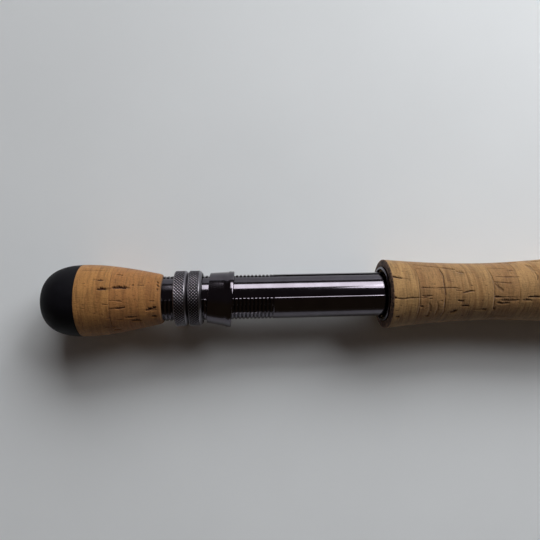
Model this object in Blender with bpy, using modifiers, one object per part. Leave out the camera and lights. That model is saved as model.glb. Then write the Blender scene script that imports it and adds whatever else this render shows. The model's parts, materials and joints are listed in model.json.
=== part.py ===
"""Saltwater fly rod, nine feet long in four sections, put together and lying on a table.

Metres, +Z up. The rod's axis is the X axis, with the centre of the butt end at the origin and the
tip at +X. The reel, the guides and the smooth channel of the reel seat share one side of the rod,
which points up and a little towards +Y.
"""

import math

import bmesh
import bpy
from mathutils import Matrix, Vector

MM = 0.001
INCH = 0.0254

# The whole rod
ROD_LENGTH = 108 * INCH
SECTION_COUNT = 4
FERRULE_OVERLAP = 65 * MM
REEL_SIDE = math.radians(29)  # from +Z towards +Y
FIT_GAP = 0.3 * MM  # between pieces that touch
RUNNING_GAP = 0.25 * MM  # between pieces that turn or slide on each other
CUTTER_MARGIN = 5 * MM  # how far a cutter runs past what it cuts

# Sides of the round pieces
HANDLE_SIDES = 24
BLANK_SIDES = 16

# Fighting butt: a rubber cap and three cork rings on a stem
CAP_LENGTH = 16.3 * MM
BUTT_END_RADIUS = 4 * MM
BUTT_PEAK = 18.8 * MM  # where the fighting butt is thickest
BUTT_PEAK_RADIUS = 14.8 * MM
BUTT_DOME_POWER = 2.65
BUTT_RING_LENGTHS = (13.4 * MM, 10.8 * MM, 8.3 * MM)
BUTT_FRONT_STEP = 0.65 * MM  # from the barrel out to the front edge of the cork
BUTT_TAPER_POWER = 1.55
BUTT_FRONT_ROUNDING = 0.6 * MM
BUTT_DOME_STEPS = 9
STEM_START = 8 * MM
STEM_RADIUS = 4 * MM
STEM_PLUG_LENGTH = 9 * MM

# Reel seat barrel
BARREL_RADIUS = 9.35 * MM
BARREL_WALL = 1.6 * MM
SEAT_LENGTH = 92.1 * MM  # from the butt cork to the fixed hood
THREADS_PER_INCH = 16
THREAD_LENGTH = 46.1 * MM
THREAD_DEPTH = 0.6 * MM
CHANNEL_ANGLE = math.radians(58)
CHANNEL_DEPTH = 0.7 * MM
CHANNEL_RELIEF = 0.05 * MM  # how much deeper it is where it crosses the thread
CHANNEL_STEPS = 7
ARBOR_WALL = 0.9 * MM  # at the rear end of the blank, where it is thickest
ARBOR_LENGTH = 16 * MM
ARBOR_COUNT = 3

# Locking rings, each on a threaded insert
LOCK_RING_LENGTH = 5.5 * MM
LOCK_RING_FROM_CORK = 4.8 * MM
LOCK_RING_FRONT_CHAMFER = 1.2 * MM
LOCK_RING_REAR_CHAMFER = 0.4 * MM
LOCK_RING_WALL = 1.15 * MM
LOCK_RING_INSERT_WALL = 0.55 * MM
RING_SIDES = 32

# Sliding hood
HOOD_FROM_RINGS = 2.4 * MM
HOOD_LENGTH = 10 * MM
HOOD_REAR_ROOM = 0.4 * MM  # between the barrel and the inside of the hood
HOOD_FRONT_ROOM = 1.5 * MM
HOOD_REAR_WALL = 0.75 * MM
HOOD_FRONT_WALL = 0.95 * MM
HOOD_LIP_LENGTH = 1.6 * MM
HOOD_LIP_EDGE = 0.3 * MM
HOOD_CONE_SHARE = 0.72  # of the flare is in the cone, and the rest in the lip
HOOD_TILT = math.radians(5)

# Fixed hood, let into the grip
FIXED_HOOD_ROOM = 1.45 * MM  # between the barrel and the inside of the cup
FIXED_HOOD_WALL = 0.9 * MM
FIXED_HOOD_EDGE = 0.25 * MM
FIXED_HOOD_LENGTH = 13 * MM
FIXED_HOOD_FLOOR = 2.5 * MM
FIXED_HOOD_STANDS_OUT = 0.8 * MM

# Full-wells grip
GRIP_LENGTH = 178 * MM
GRIP_REAR_WALL = 2.8 * MM  # round the fixed hood
GRIP_WAIST = 43 * MM  # along the grip from its rear end
GRIP_WAIST_RADIUS = 12.4 * MM
GRIP_SWELL = 96 * MM
GRIP_SWELL_RADIUS = 14.5 * MM
GRIP_FRONT_WAIST = 140 * MM
GRIP_FRONT_WAIST_RADIUS = 12 * MM
GRIP_FRONT_RADIUS = 13.3 * MM
GRIP_FLARE_POWER = 1.85
GRIP_REAR_FACE = 0.6 * MM
GRIP_FIRST_RING = 10.8 * MM
GRIP_RING_LENGTH = 10.7 * MM
GRIP_FRONT_RING = 4 * MM
GRIP_FRONT_ROUNDING = 1.2 * MM
CHECK_LENGTH = 2.4 * MM
CHECK_WALL = 1.4 * MM

# Blank: radius at the front end of each section, and the sections' walls
BLANK_START_INTO_SEAT = 13 * MM
BLANK_FRONT_RADII = (4.8 * MM, 3.8 * MM, 2.5 * MM, 0.95 * MM)
BLANK_WALLS = (1.1 * MM, 0.85 * MM, 0.7 * MM, 0.45 * MM)
SOCKET_WALL = 0.9 * MM
SOCKET_SPARE = 4 * MM  # empty length past the end of a pushed-in section
SOCKET_TAPER = 2 * MM  # from the end of the socket to the bore of the tube
FERRULE_WRAP_LENGTH = 16 * MM
WRAP_THICKNESS = 0.35 * MM
WRAP_TAPER = 1 * MM

# Guides: distance from the tip grows by a steady amount from guide to guide
GUIDE_COUNT = 10
STRIPPING_GUIDES = 2
GUIDE_FIRST_SPACE = 125.7 * MM
GUIDE_SPACE_GROWTH = 15.4 * MM
SNAKE_WIRE = 1 * MM
SNAKE_CLEAR_RADIUS = 3.6 * MM
SNAKE_ARCH_LENGTH = 12 * MM
SNAKE_FOOT_START = 2.4 * MM  # from the end of the arch
SNAKE_FOOT_LENGTH = 7 * MM
SNAKE_STEPS = 10
STRIPPER_RING_RADII = (6.0 * MM, 4.9 * MM)  # clear radius, first guide from the butt first
STRIPPER_INSERT_WALL = 1 * MM
STRIPPER_INSERT_WIDTH = 2.4 * MM
STRIPPER_RIM_WALL = 0.7 * MM
STRIPPER_RIM_WIDTH = 1.6 * MM
STRIPPER_STAND_OFF = 3.2 * MM  # from the blank to the outside of the ring's rim
STRIPPER_LEG_WIRE = 1.2 * MM
STRIPPER_LEG_REACH = 9 * MM
STRIPPER_FOOT_LENGTH = 11 * MM
STRIPPER_FOOT_WIDTH = 2.2 * MM
STRIPPER_FOOT_HEIGHT = 0.9 * MM
STRIPPER_FOOT_BARE = 2.6 * MM  # not under the wrap
STRIPPER_LEG_SPREAD = math.radians(48)
STRIPPER_LEG_ON_FOOT = 1.6 * MM

# Tip top and hook keeper
TIP_TUBE_LENGTH = 11 * MM
TIP_TUBE_WALL = 0.35 * MM
TIP_WIRE = 1 * MM
TIP_LOOP_RADIUS = 4.2 * MM  # to the middle of the wire
TIP_LOOP_LEAN = math.radians(65)  # from the rod's axis
TIP_LOOP_STEPS = 14
KEEPER_FROM_GRIP = 16 * MM
KEEPER_WIRE = 0.9 * MM
KEEPER_LENGTH = 12 * MM
KEEPER_FOOT_LENGTH = 4 * MM
KEEPER_HEIGHT = 3.4 * MM

# Sizes that follow from the barrel's radius, and from what lies round it
BARREL_BORE = BARREL_RADIUS - BARREL_WALL
BLANK_REAR_RADIUS = BARREL_BORE - ARBOR_WALL - 2 * FIT_GAP
BUTT_FRONT_RADIUS = BARREL_RADIUS + BUTT_FRONT_STEP
LOCK_RING_RADIUS = BARREL_RADIUS + LOCK_RING_INSERT_WALL + LOCK_RING_WALL + 2 * RUNNING_GAP
HOOD_REAR_RADIUS = BARREL_RADIUS + HOOD_REAR_ROOM + HOOD_REAR_WALL
HOOD_FRONT_RADIUS = BARREL_RADIUS + HOOD_FRONT_ROOM + HOOD_FRONT_WALL
FIXED_HOOD_RADIUS = BARREL_RADIUS + FIXED_HOOD_ROOM + FIXED_HOOD_WALL
GRIP_REAR_RADIUS = FIXED_HOOD_RADIUS + FIT_GAP + GRIP_REAR_WALL

# Places along the rod that follow from the sizes above
THREAD_PITCH = INCH / THREADS_PER_INCH
LOCK_RING_SPACING = LOCK_RING_LENGTH + FIT_GAP
SEAT_START = CAP_LENGTH + sum(BUTT_RING_LENGTHS) + FIT_GAP
GRIP_START = SEAT_START + SEAT_LENGTH + FIXED_HOOD_STANDS_OUT
GRIP_END = GRIP_START + GRIP_LENGTH
FIXED_HOOD_START = GRIP_START - FIXED_HOOD_STANDS_OUT
FIXED_HOOD_END = FIXED_HOOD_START + FIXED_HOOD_LENGTH
BLANK_START = SEAT_START + BLANK_START_INTO_SEAT
SECTION_LENGTH = (ROD_LENGTH + (SECTION_COUNT - 1) * FERRULE_OVERLAP) / SECTION_COUNT
SECTION_STEP = SECTION_LENGTH - FERRULE_OVERLAP
TIP_REACH = FIT_GAP + TIP_TUBE_WALL + 2 * TIP_LOOP_RADIUS * math.cos(TIP_LOOP_LEAN) + TIP_WIRE / 2

parts = bpy.data.collections.new("saltwater_fly_rod")
cutters = bpy.data.collections.new("cutters")


def clear_scene():
    for obj in list(bpy.data.objects):
        bpy.data.objects.remove(obj, do_unlink=True)
    bpy.context.scene.collection.children.link(parts)
    bpy.context.scene.collection.children.link(cutters)


def finish(name, colour, roughness, metallic=0.0):
    """A plain Principled material."""
    material = bpy.data.materials.new(name)
    material.use_nodes = True
    shader = material.node_tree.nodes["Principled BSDF"]
    shader.inputs["Base Color"].default_value = (*colour, 1)
    shader.inputs["Roughness"].default_value = roughness
    shader.inputs["Metallic"].default_value = metallic
    return material


def new_object(name, mesh, material, collection=None):
    obj = bpy.data.objects.new(name, mesh)
    (collection or parts).objects.link(obj)
    if material:
        mesh.materials.clear()
        mesh.materials.append(material)
    return obj


def set_on(obj, carrier, location, rotation=(0.0, 0.0, 0.0)):
    """Places an object in the world, under the empty that carries it. The empties aren't turned."""
    obj.rotation_euler = rotation
    if carrier:
        obj.parent = carrier
        obj.location = Vector(location) - carrier.location
    else:
        obj.location = location
    return obj


def carrier_empty(name, x):
    """An empty on the rod's axis that carries one moving body."""
    empty = bpy.data.objects.new(name, None)
    parts.objects.link(empty)
    empty.location = (x, 0, 0)
    return empty


def screw(obj, sides):
    """Turns the object's profile once round its own Z axis."""
    turn = obj.modifiers.new("Turn", "SCREW")
    turn.axis = "Z"
    turn.angle = math.tau
    turn.steps = sides
    turn.render_steps = sides
    turn.use_merge_vertices = True
    turn.merge_threshold = 0.00001
    turn.use_smooth_shade = True


def profile_mesh(name, points, closed):
    """Points (radius, height) as a line in the XZ plane."""
    shape = bmesh.new()
    verts = [shape.verts.new((radius, 0, height)) for radius, height in points]
    for first, second in zip(verts, verts[1:]):
        shape.edges.new((first, second))
    if closed:
        shape.edges.new((verts[-1], verts[0]))
    mesh = bpy.data.meshes.new(name)
    shape.to_mesh(mesh)
    shape.free()
    return mesh


def turned(name, outside, bore, material, carrier=None, sides=HANDLE_SIDES, collection=None):
    """A piece turned on the rod's axis.

    outside and bore list (x, radius) from the butt towards the tip. With no bore the piece is
    solid. The sides are set so that a flat, and not a corner, faces the table.
    """
    start = outside[0][0]
    points = [(radius, x - start) for x, radius in reversed(outside)]
    if bore:
        points += [(radius, x - start) for x, radius in bore]
    else:
        points = [(0, points[0][1])] + points + [(0, points[-1][1])]
    obj = new_object(name, profile_mesh(name, points, bool(bore)), material, collection)
    obj.data.transform(Matrix.Rotation(math.pi / sides, 4, "Z"))
    set_on(obj, carrier, (start, 0, 0), (0, math.radians(90), 0))
    screw(obj, sides)
    return obj


def tube_from(points, radius, resolution=1, closed=False):
    """A round wire through the points, as a mesh with its caps welded."""
    curve = bpy.data.curves.new("wire", "CURVE")
    curve.dimensions = "3D"
    curve.bevel_depth = radius
    curve.bevel_resolution = resolution
    curve.use_fill_caps = not closed
    spline = curve.splines.new("POLY")
    spline.points.add(len(points) - 1)
    spline.use_cyclic_u = closed
    for target, point in zip(spline.points, points):
        target.co = (*point, 1)
    holder = bpy.data.objects.new("wire", curve)
    parts.objects.link(holder)
    bpy.context.view_layer.update()
    evaluated = holder.evaluated_get(bpy.context.evaluated_depsgraph_get())
    mesh = bpy.data.meshes.new_from_object(evaluated)
    bpy.data.objects.remove(holder, do_unlink=True)
    shape = bmesh.new()
    shape.from_mesh(mesh)
    bmesh.ops.remove_doubles(shape, verts=shape.verts, dist=0.000001)
    bmesh.ops.recalc_face_normals(shape, faces=shape.faces)
    shape.to_mesh(mesh)
    shape.free()
    return mesh


def box_mesh(low, high):
    """A box between two corners."""
    shape = bmesh.new()
    bmesh.ops.create_cube(shape, size=1)
    size = Vector(high) - Vector(low)
    middle = (Vector(high) + Vector(low)) / 2
    bmesh.ops.scale(shape, vec=size, verts=shape.verts)
    bmesh.ops.translate(shape, vec=middle, verts=shape.verts)
    mesh = bpy.data.meshes.new("box")
    shape.to_mesh(mesh)
    shape.free()
    return mesh


def add_boolean(obj, operation, helper):
    """Cuts a helper object from obj, or joins it on. The helper itself isn't part of the rod."""
    helper.hide_render = True
    helper.display_type = "WIRE"
    modifier = obj.modifiers.new(operation.title(), "BOOLEAN")
    modifier.operation = operation
    modifier.solver = "EXACT"
    modifier.object = helper


def join_on(obj, mesh, carrier, location, rotation):
    """Joins a mesh to an object by a union, with the mesh placed as a piece of its own would be."""
    helper = new_object(f"{obj.name}_joined", mesh, None, cutters)
    set_on(helper, carrier, location, rotation)
    add_boolean(obj, "UNION", helper)


def butt_radius(x):
    """Outside of the fighting butt: a blunt dome up to its thickest place, then a taper."""
    if x < BUTT_PEAK:
        share = 1 - x / BUTT_PEAK
        dome = (1 - share**BUTT_DOME_POWER) ** (1 / BUTT_DOME_POWER)
        return max(BUTT_END_RADIUS, BUTT_PEAK_RADIUS * dome)
    share = (x - BUTT_PEAK) / (SEAT_START - BUTT_PEAK)
    return BUTT_PEAK_RADIUS - (BUTT_PEAK_RADIUS - BUTT_FRONT_RADIUS) * share**BUTT_TAPER_POWER


def eased(share):
    return (1 - math.cos(math.pi * share)) / 2


def grip_radius(x):
    """Outside of the full-wells grip at x: flared ends, two waists and a swell between them."""
    along = x - GRIP_START
    if along < GRIP_WAIST:
        flare = (1 - along / GRIP_WAIST) ** GRIP_FLARE_POWER
        return GRIP_WAIST_RADIUS + (GRIP_REAR_RADIUS - GRIP_WAIST_RADIUS) * flare
    if along < GRIP_SWELL:
        share = eased((along - GRIP_WAIST) / (GRIP_SWELL - GRIP_WAIST))
        return GRIP_WAIST_RADIUS + (GRIP_SWELL_RADIUS - GRIP_WAIST_RADIUS) * share
    if along < GRIP_FRONT_WAIST:
        share = eased((along - GRIP_SWELL) / (GRIP_FRONT_WAIST - GRIP_SWELL))
        return GRIP_SWELL_RADIUS + (GRIP_FRONT_WAIST_RADIUS - GRIP_SWELL_RADIUS) * share
    flare = ((along - GRIP_FRONT_WAIST) / (GRIP_LENGTH - GRIP_FRONT_WAIST)) ** GRIP_FLARE_POWER
    return GRIP_FRONT_WAIST_RADIUS + (GRIP_FRONT_RADIUS - GRIP_FRONT_WAIST_RADIUS) * flare


def section_start(index):
    return BLANK_START if index == 0 else index * SECTION_STEP


def section_end(index):
    return index * SECTION_STEP + SECTION_LENGTH - (TIP_REACH if index == SECTION_COUNT - 1 else 0)


def section_rear_radius(index):
    """Outside radius at the section's rear end. All but the first have a socket there."""
    return socket_radius(index) + SOCKET_WALL if index else BLANK_REAR_RADIUS


def blank_radius(index, x):
    share = (x - section_start(index)) / (section_end(index) - section_start(index))
    rear = section_rear_radius(index)
    return rear + (BLANK_FRONT_RADII[index] - rear) * share


def socket_radius(index):
    """Bore of the socket at the rear of a section, round the one before it."""
    return blank_radius(index - 1, section_start(index)) + FIT_GAP


def section_at(x):
    """The section whose outside shows at x."""
    index = SECTION_COUNT - 1
    while index and x < section_start(index):
        index -= 1
    return index


def guide_place(number):
    """How far from the butt guide number 1, 2, ... lies, counted from the tip."""
    growth = GUIDE_SPACE_GROWTH * number * (number - 1) / 2
    return ROD_LENGTH - GUIDE_FIRST_SPACE * number - growth


def make_fighting_butt(rubber, cork, plastic):
    """Cap and cork rings, on a stem that plugs into the rear of the barrel."""
    bore = STEM_RADIUS + FIT_GAP
    outside = [(0, BUTT_END_RADIUS)]
    for step in range(1, BUTT_DOME_STEPS + 1):
        x = CAP_LENGTH * (step / BUTT_DOME_STEPS) ** 1.5
        outside.append((x, butt_radius(x)))
    pocket_end = STEM_START - FIT_GAP
    cap = turned("butt_cap", outside, None, rubber)
    pocket = [(pocket_end, bore), (CAP_LENGTH + CUTTER_MARGIN, bore)]
    cutter = turned("butt_cap_pocket", pocket, None, None, collection=cutters)
    add_boolean(cap, "DIFFERENCE", cutter)
    start = CAP_LENGTH + FIT_GAP
    end = CAP_LENGTH
    for number, length in enumerate(BUTT_RING_LENGTHS, 1):
        end += length
        middle = (start + end) / 2
        outside = [(start, butt_radius(start)), (middle, butt_radius(middle))]
        if number < len(BUTT_RING_LENGTHS):
            outside.append((end, butt_radius(end)))
        else:
            outside.append((end - BUTT_FRONT_ROUNDING, butt_radius(end - BUTT_FRONT_ROUNDING)))
            outside.append((end, butt_radius(end) - BUTT_FRONT_ROUNDING))
        turned(f"butt_cork_ring_{number}", outside, [(start, bore), (end, bore)], cork)
        start = end + FIT_GAP
    plug = BARREL_BORE - FIT_GAP
    stem = [
        (STEM_START, STEM_RADIUS),
        (SEAT_START, STEM_RADIUS),
        (SEAT_START, plug),
        (SEAT_START + STEM_PLUG_LENGTH, plug),
    ]
    turned("butt_stem", stem, None, plastic, sides=BLANK_SIDES)


def channel_cutter(name, floor, end):
    """A bar with a curved underside, from behind the barrel as far as end, on the reel side."""
    above = BARREL_RADIUS * 1.25
    angles = [CHANNEL_ANGLE * (step / CHANNEL_STEPS - 0.5) for step in range(CHANNEL_STEPS + 1)]
    outline = [(floor * math.sin(a), floor * math.cos(a)) for a in angles]
    outline += [(above * math.sin(a), above * math.cos(a)) for a in reversed(angles)]
    shape = bmesh.new()
    start = SEAT_START - CUTTER_MARGIN
    face = shape.faces.new([shape.verts.new((start, y, z)) for y, z in outline])
    grown = bmesh.ops.extrude_face_region(shape, geom=[face])
    moved = [item for item in grown["geom"] if isinstance(item, bmesh.types.BMVert)]
    bmesh.ops.translate(shape, vec=(end - start, 0, 0), verts=moved)
    bmesh.ops.recalc_face_normals(shape, faces=shape.faces)
    mesh = bpy.data.meshes.new(name)
    shape.to_mesh(mesh)
    shape.free()
    cutter = new_object(name, mesh, None, cutters)
    cutter.rotation_euler = (-REEL_SIDE, 0, 0)
    return cutter


def make_barrel(metal, plastic):
    """The threaded barrel, its channel, and the arbors that hold it on the blank."""
    turns = int(THREAD_LENGTH / THREAD_PITCH)
    root = BARREL_RADIUS - THREAD_DEPTH
    outside = [(SEAT_START, root)]
    for turn in range(turns):
        x = SEAT_START + turn * THREAD_PITCH
        outside += [(x + THREAD_PITCH / 2, BARREL_RADIUS), (x + THREAD_PITCH, root)]
    smooth_start = SEAT_START + turns * THREAD_PITCH + THREAD_PITCH / 2
    barrel_end = FIXED_HOOD_END - FIXED_HOOD_FLOOR / 2
    outside += [(smooth_start, BARREL_RADIUS), (barrel_end, BARREL_RADIUS)]
    bore = [(SEAT_START, BARREL_BORE), (barrel_end, BARREL_BORE)]
    barrel = turned("reel_seat_barrel", outside, bore, metal)
    floor = BARREL_RADIUS - CHANNEL_DEPTH
    channel_end = FIXED_HOOD_END - FIXED_HOOD_FLOOR - FIT_GAP
    add_boolean(barrel, "DIFFERENCE", channel_cutter("channel", floor, channel_end))
    relief = channel_cutter("channel_relief", floor - CHANNEL_RELIEF, smooth_start)
    add_boolean(barrel, "DIFFERENCE", relief)
    room = barrel_end - BLANK_START - ARBOR_LENGTH
    for number in range(ARBOR_COUNT):
        start = BLANK_START + FIT_GAP + room * number / (ARBOR_COUNT - 1) - FIT_GAP * number
        end = start + ARBOR_LENGTH
        radius = BARREL_BORE - FIT_GAP
        inner = [(x, blank_radius(0, x) + FIT_GAP) for x in (start, end)]
        turned(f"seat_arbor_{number + 1}", [(start, radius), (end, radius)], inner, plastic,
               sides=BLANK_SIDES)


def make_lock_rings(metal, plastic):
    """Two knurled rings, each on a threaded insert that rides along the barrel."""
    insert_bore = BARREL_RADIUS + RUNNING_GAP
    ring_bore = LOCK_RING_RADIUS - LOCK_RING_WALL
    insert_radius = ring_bore - RUNNING_GAP
    carrier = None
    for number, name in enumerate(("rear", "front")):
        start = SEAT_START + LOCK_RING_FROM_CORK + number * LOCK_RING_SPACING
        end = start + LOCK_RING_LENGTH
        carrier = carrier_empty(f"lock_ring_{name}_carrier", start)
        outside = [
            (start, LOCK_RING_RADIUS - LOCK_RING_REAR_CHAMFER),
            (start + LOCK_RING_REAR_CHAMFER, LOCK_RING_RADIUS),
            (end - LOCK_RING_FRONT_CHAMFER, LOCK_RING_RADIUS),
            (end - LOCK_RING_FRONT_CHAMFER / 3, LOCK_RING_RADIUS - LOCK_RING_FRONT_CHAMFER / 3),
            (end, LOCK_RING_RADIUS - LOCK_RING_FRONT_CHAMFER),
        ]
        turned(f"lock_ring_{name}", outside, [(start, ring_bore), (end, ring_bore)], metal,
               carrier, sides=RING_SIDES)
        insert = [(start + FIT_GAP, insert_radius), (end - FIT_GAP, insert_radius)]
        inner = [(start + FIT_GAP, insert_bore), (end - FIT_GAP, insert_bore)]
        turned(f"lock_ring_{name}_insert", insert, inner, plastic, carrier)


def make_sliding_hood(metal):
    """A loose flared cone. It lies askew on the barrel, its front towards -Y."""
    start = SEAT_START + LOCK_RING_FROM_CORK + LOCK_RING_SPACING + LOCK_RING_LENGTH + HOOD_FROM_RINGS
    end = start + HOOD_LENGTH
    carrier = carrier_empty("sliding_hood_carrier", start)
    lip = end - HOOD_LIP_LENGTH
    cone = HOOD_REAR_RADIUS + (HOOD_FRONT_RADIUS - HOOD_REAR_RADIUS) * HOOD_CONE_SHARE
    outside = [(start, HOOD_REAR_RADIUS), (lip, cone), (end - HOOD_LIP_EDGE, HOOD_FRONT_RADIUS),
               (end, HOOD_FRONT_RADIUS - HOOD_LIP_EDGE * 2 / 3)]
    bore = [(start, HOOD_REAR_RADIUS - HOOD_REAR_WALL), (end, HOOD_FRONT_RADIUS - HOOD_FRONT_WALL)]
    hood = turned("sliding_hood", outside, bore, metal, carrier, sides=RING_SIDES)
    hood.rotation_euler = (0, math.radians(90), -HOOD_TILT)


def make_fixed_hood(metal):
    """A cup for the front of the reel foot, let into the rear of the grip."""
    start = FIXED_HOOD_START
    end = FIXED_HOOD_END
    inner = FIXED_HOOD_RADIUS - FIXED_HOOD_WALL
    seat = BARREL_RADIUS + FIT_GAP
    outside = [(start, FIXED_HOOD_RADIUS - FIXED_HOOD_EDGE), (start + FIXED_HOOD_EDGE, FIXED_HOOD_RADIUS),
               (end, FIXED_HOOD_RADIUS)]
    bore = [(start, inner), (end - FIXED_HOOD_FLOOR, inner), (end - FIXED_HOOD_FLOOR, seat), (end, seat)]
    turned("fixed_hood", outside, bore, metal, sides=RING_SIDES)


def grip_bore(start, end):
    """The hole in a piece of the grip: a recess as far as the fixed hood goes, then the blank."""
    recess = FIXED_HOOD_RADIUS + FIT_GAP
    recess_end = FIXED_HOOD_END + FIT_GAP
    if end <= recess_end:
        return [(start, recess), (end, recess)]
    narrow = [(end, blank_radius(0, end) + FIT_GAP)]
    if start < recess_end:
        narrow.insert(0, (recess_end, blank_radius(0, recess_end) + FIT_GAP))
        return [(start, recess), (recess_end, recess)] + narrow
    return [(start, blank_radius(0, start) + FIT_GAP)] + narrow


def make_grip(cork, composite, metal):
    """Composite end faces with cork rings between them, and the winding check in front."""
    start = GRIP_START
    end = start + GRIP_REAR_FACE
    turned("grip_rear_face", [(start, grip_radius(start)), (end, grip_radius(end))],
           grip_bore(start, end), composite)
    seams = [end, end + GRIP_FIRST_RING]
    front_ring_start = GRIP_END - GRIP_FRONT_RING
    while seams[-1] + 1.4 * GRIP_RING_LENGTH < front_ring_start:
        seams.append(seams[-1] + GRIP_RING_LENGTH)
    seams.append(front_ring_start)
    for number, (start, end) in enumerate(zip(seams, seams[1:]), 1):
        start += FIT_GAP
        outside = [(start, grip_radius(start)), (end, grip_radius(end))]
        turned(f"grip_cork_ring_{number:02d}", outside, grip_bore(start, end), cork)
    start = front_ring_start + FIT_GAP
    rounded = GRIP_END - GRIP_FRONT_ROUNDING
    outside = [(start, grip_radius(start)), (rounded, grip_radius(rounded)),
               (GRIP_END, grip_radius(GRIP_END) - GRIP_FRONT_ROUNDING)]
    turned("grip_front_ring", outside, grip_bore(start, GRIP_END), composite)
    start = GRIP_END + FIT_GAP
    end = start + CHECK_LENGTH
    radius = blank_radius(0, start) + FIT_GAP + CHECK_WALL
    bore = [(x, blank_radius(0, x) + FIT_GAP) for x in (start, end)]
    outside = [(start, radius), (end - CHECK_LENGTH / 2, radius), (end, radius - CHECK_WALL / 2)]
    turned("winding_check", outside, bore, metal, sides=BLANK_SIDES)


def make_blank(carbon, thread, carriers):
    """Four tapered tubes, each with a socket at its rear that fits over the one before it."""
    for index in range(SECTION_COUNT):
        start = section_start(index)
        end = section_end(index)
        wall = BLANK_WALLS[index]
        outside = [(start, blank_radius(index, start)), (end, blank_radius(index, end))]
        if index == 0:
            bore = [(x, blank_radius(index, x) - wall) for x in (start, end)]
        else:
            socket_end = start + FERRULE_OVERLAP + SOCKET_SPARE
            socket = socket_radius(index)
            bore = [(start, socket), (socket_end, socket)]
            bore += [(x, blank_radius(index, x) - wall) for x in (socket_end + SOCKET_TAPER, end)]
        turned(f"blank_section_{index + 1}", outside, bore, carbon, carriers[index], BLANK_SIDES)
        if index:
            make_wrap(f"ferrule_wrap_{index}", index, start, start + FERRULE_WRAP_LENGTH, thread,
                      carriers[index])


def make_wrap(name, index, start, end, thread, carrier):
    """Thread wound round the blank."""
    below = [(x, blank_radius(index, x) + FIT_GAP) for x in (start, end)]
    outside = [
        (start, below[0][1] + WRAP_THICKNESS / 2),
        (start + WRAP_TAPER, blank_radius(index, start + WRAP_TAPER) + FIT_GAP + WRAP_THICKNESS),
        (end - WRAP_TAPER, blank_radius(index, end - WRAP_TAPER) + FIT_GAP + WRAP_THICKNESS),
        (end, below[1][1] + WRAP_THICKNESS / 2),
    ]
    turned(name, outside, below, thread, carrier, BLANK_SIDES)


def snake_mesh():
    """A snake guide: a foot, a wire that crosses over in most of one turn, and the other foot.

    Z is away from the blank, whose surface is at Z = 0, and X runs along it.
    """
    wire = SNAKE_WIRE / 2
    arch = SNAKE_CLEAR_RADIUS + wire
    half_turn = math.acos((wire - SNAKE_CLEAR_RADIUS) / arch)
    points = []
    for step in range(SNAKE_STEPS + 1):
        turn = half_turn * (2 * step / SNAKE_STEPS - 1)
        along = SNAKE_ARCH_LENGTH * turn / (2 * half_turn)
        points.append((along, arch * math.sin(turn), SNAKE_CLEAR_RADIUS + arch * math.cos(turn)))
    foot_start = SNAKE_ARCH_LENGTH / 2 + SNAKE_FOOT_START
    bend = SNAKE_ARCH_LENGTH / 2 + SNAKE_FOOT_START / 2
    aside = points[-1][1] * 0.35
    last = foot_start + SNAKE_FOOT_LENGTH
    rear = [(-last, 0, wire), (-foot_start, 0, wire), (-bend, -aside, wire)]
    front = [(-x, -y, z) for x, y, z in reversed(rear)]
    return tube_from(rear + points + front, wire)


def make_snake_guides(metal, carriers):
    mesh = snake_mesh()
    snake_reach = SNAKE_ARCH_LENGTH / 2 + SNAKE_FOOT_START + SNAKE_FOOT_LENGTH
    for number in range(1, GUIDE_COUNT - STRIPPING_GUIDES + 1):
        x = guide_place(number)
        index = section_at(x)
        thickest = blank_radius(index, x - snake_reach)
        guide = new_object(f"snake_guide_{number}", mesh, metal)
        set_on(guide, carriers[index], (x, 0, 0), (-REEL_SIDE, 0, 0))
        outward = Vector((0, math.sin(REEL_SIDE), math.cos(REEL_SIDE)))
        guide.location += outward * (thickest + FIT_GAP)


def ring_mesh(radius, wall, width, height, sides=20):
    """A rounded ring round the X direction, with its centre at height."""
    half = width / 2
    side = width / 4
    loop = [
        (radius + wall, side), (radius + wall, -side), (radius + wall / 2, -half),
        (radius, -side), (radius, side), (radius + wall / 2, half),
    ]
    holder = bpy.data.objects.new("ring", profile_mesh("ring", loop, True))
    parts.objects.link(holder)
    screw(holder, sides)
    bpy.context.view_layer.update()
    evaluated = holder.evaluated_get(bpy.context.evaluated_depsgraph_get())
    mesh = bpy.data.meshes.new_from_object(evaluated)
    bpy.data.objects.remove(holder, do_unlink=True)
    mesh.transform(Matrix.Translation((0, 0, height)) @ Matrix.Rotation(math.radians(90), 4, "Y"))
    return mesh


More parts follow.
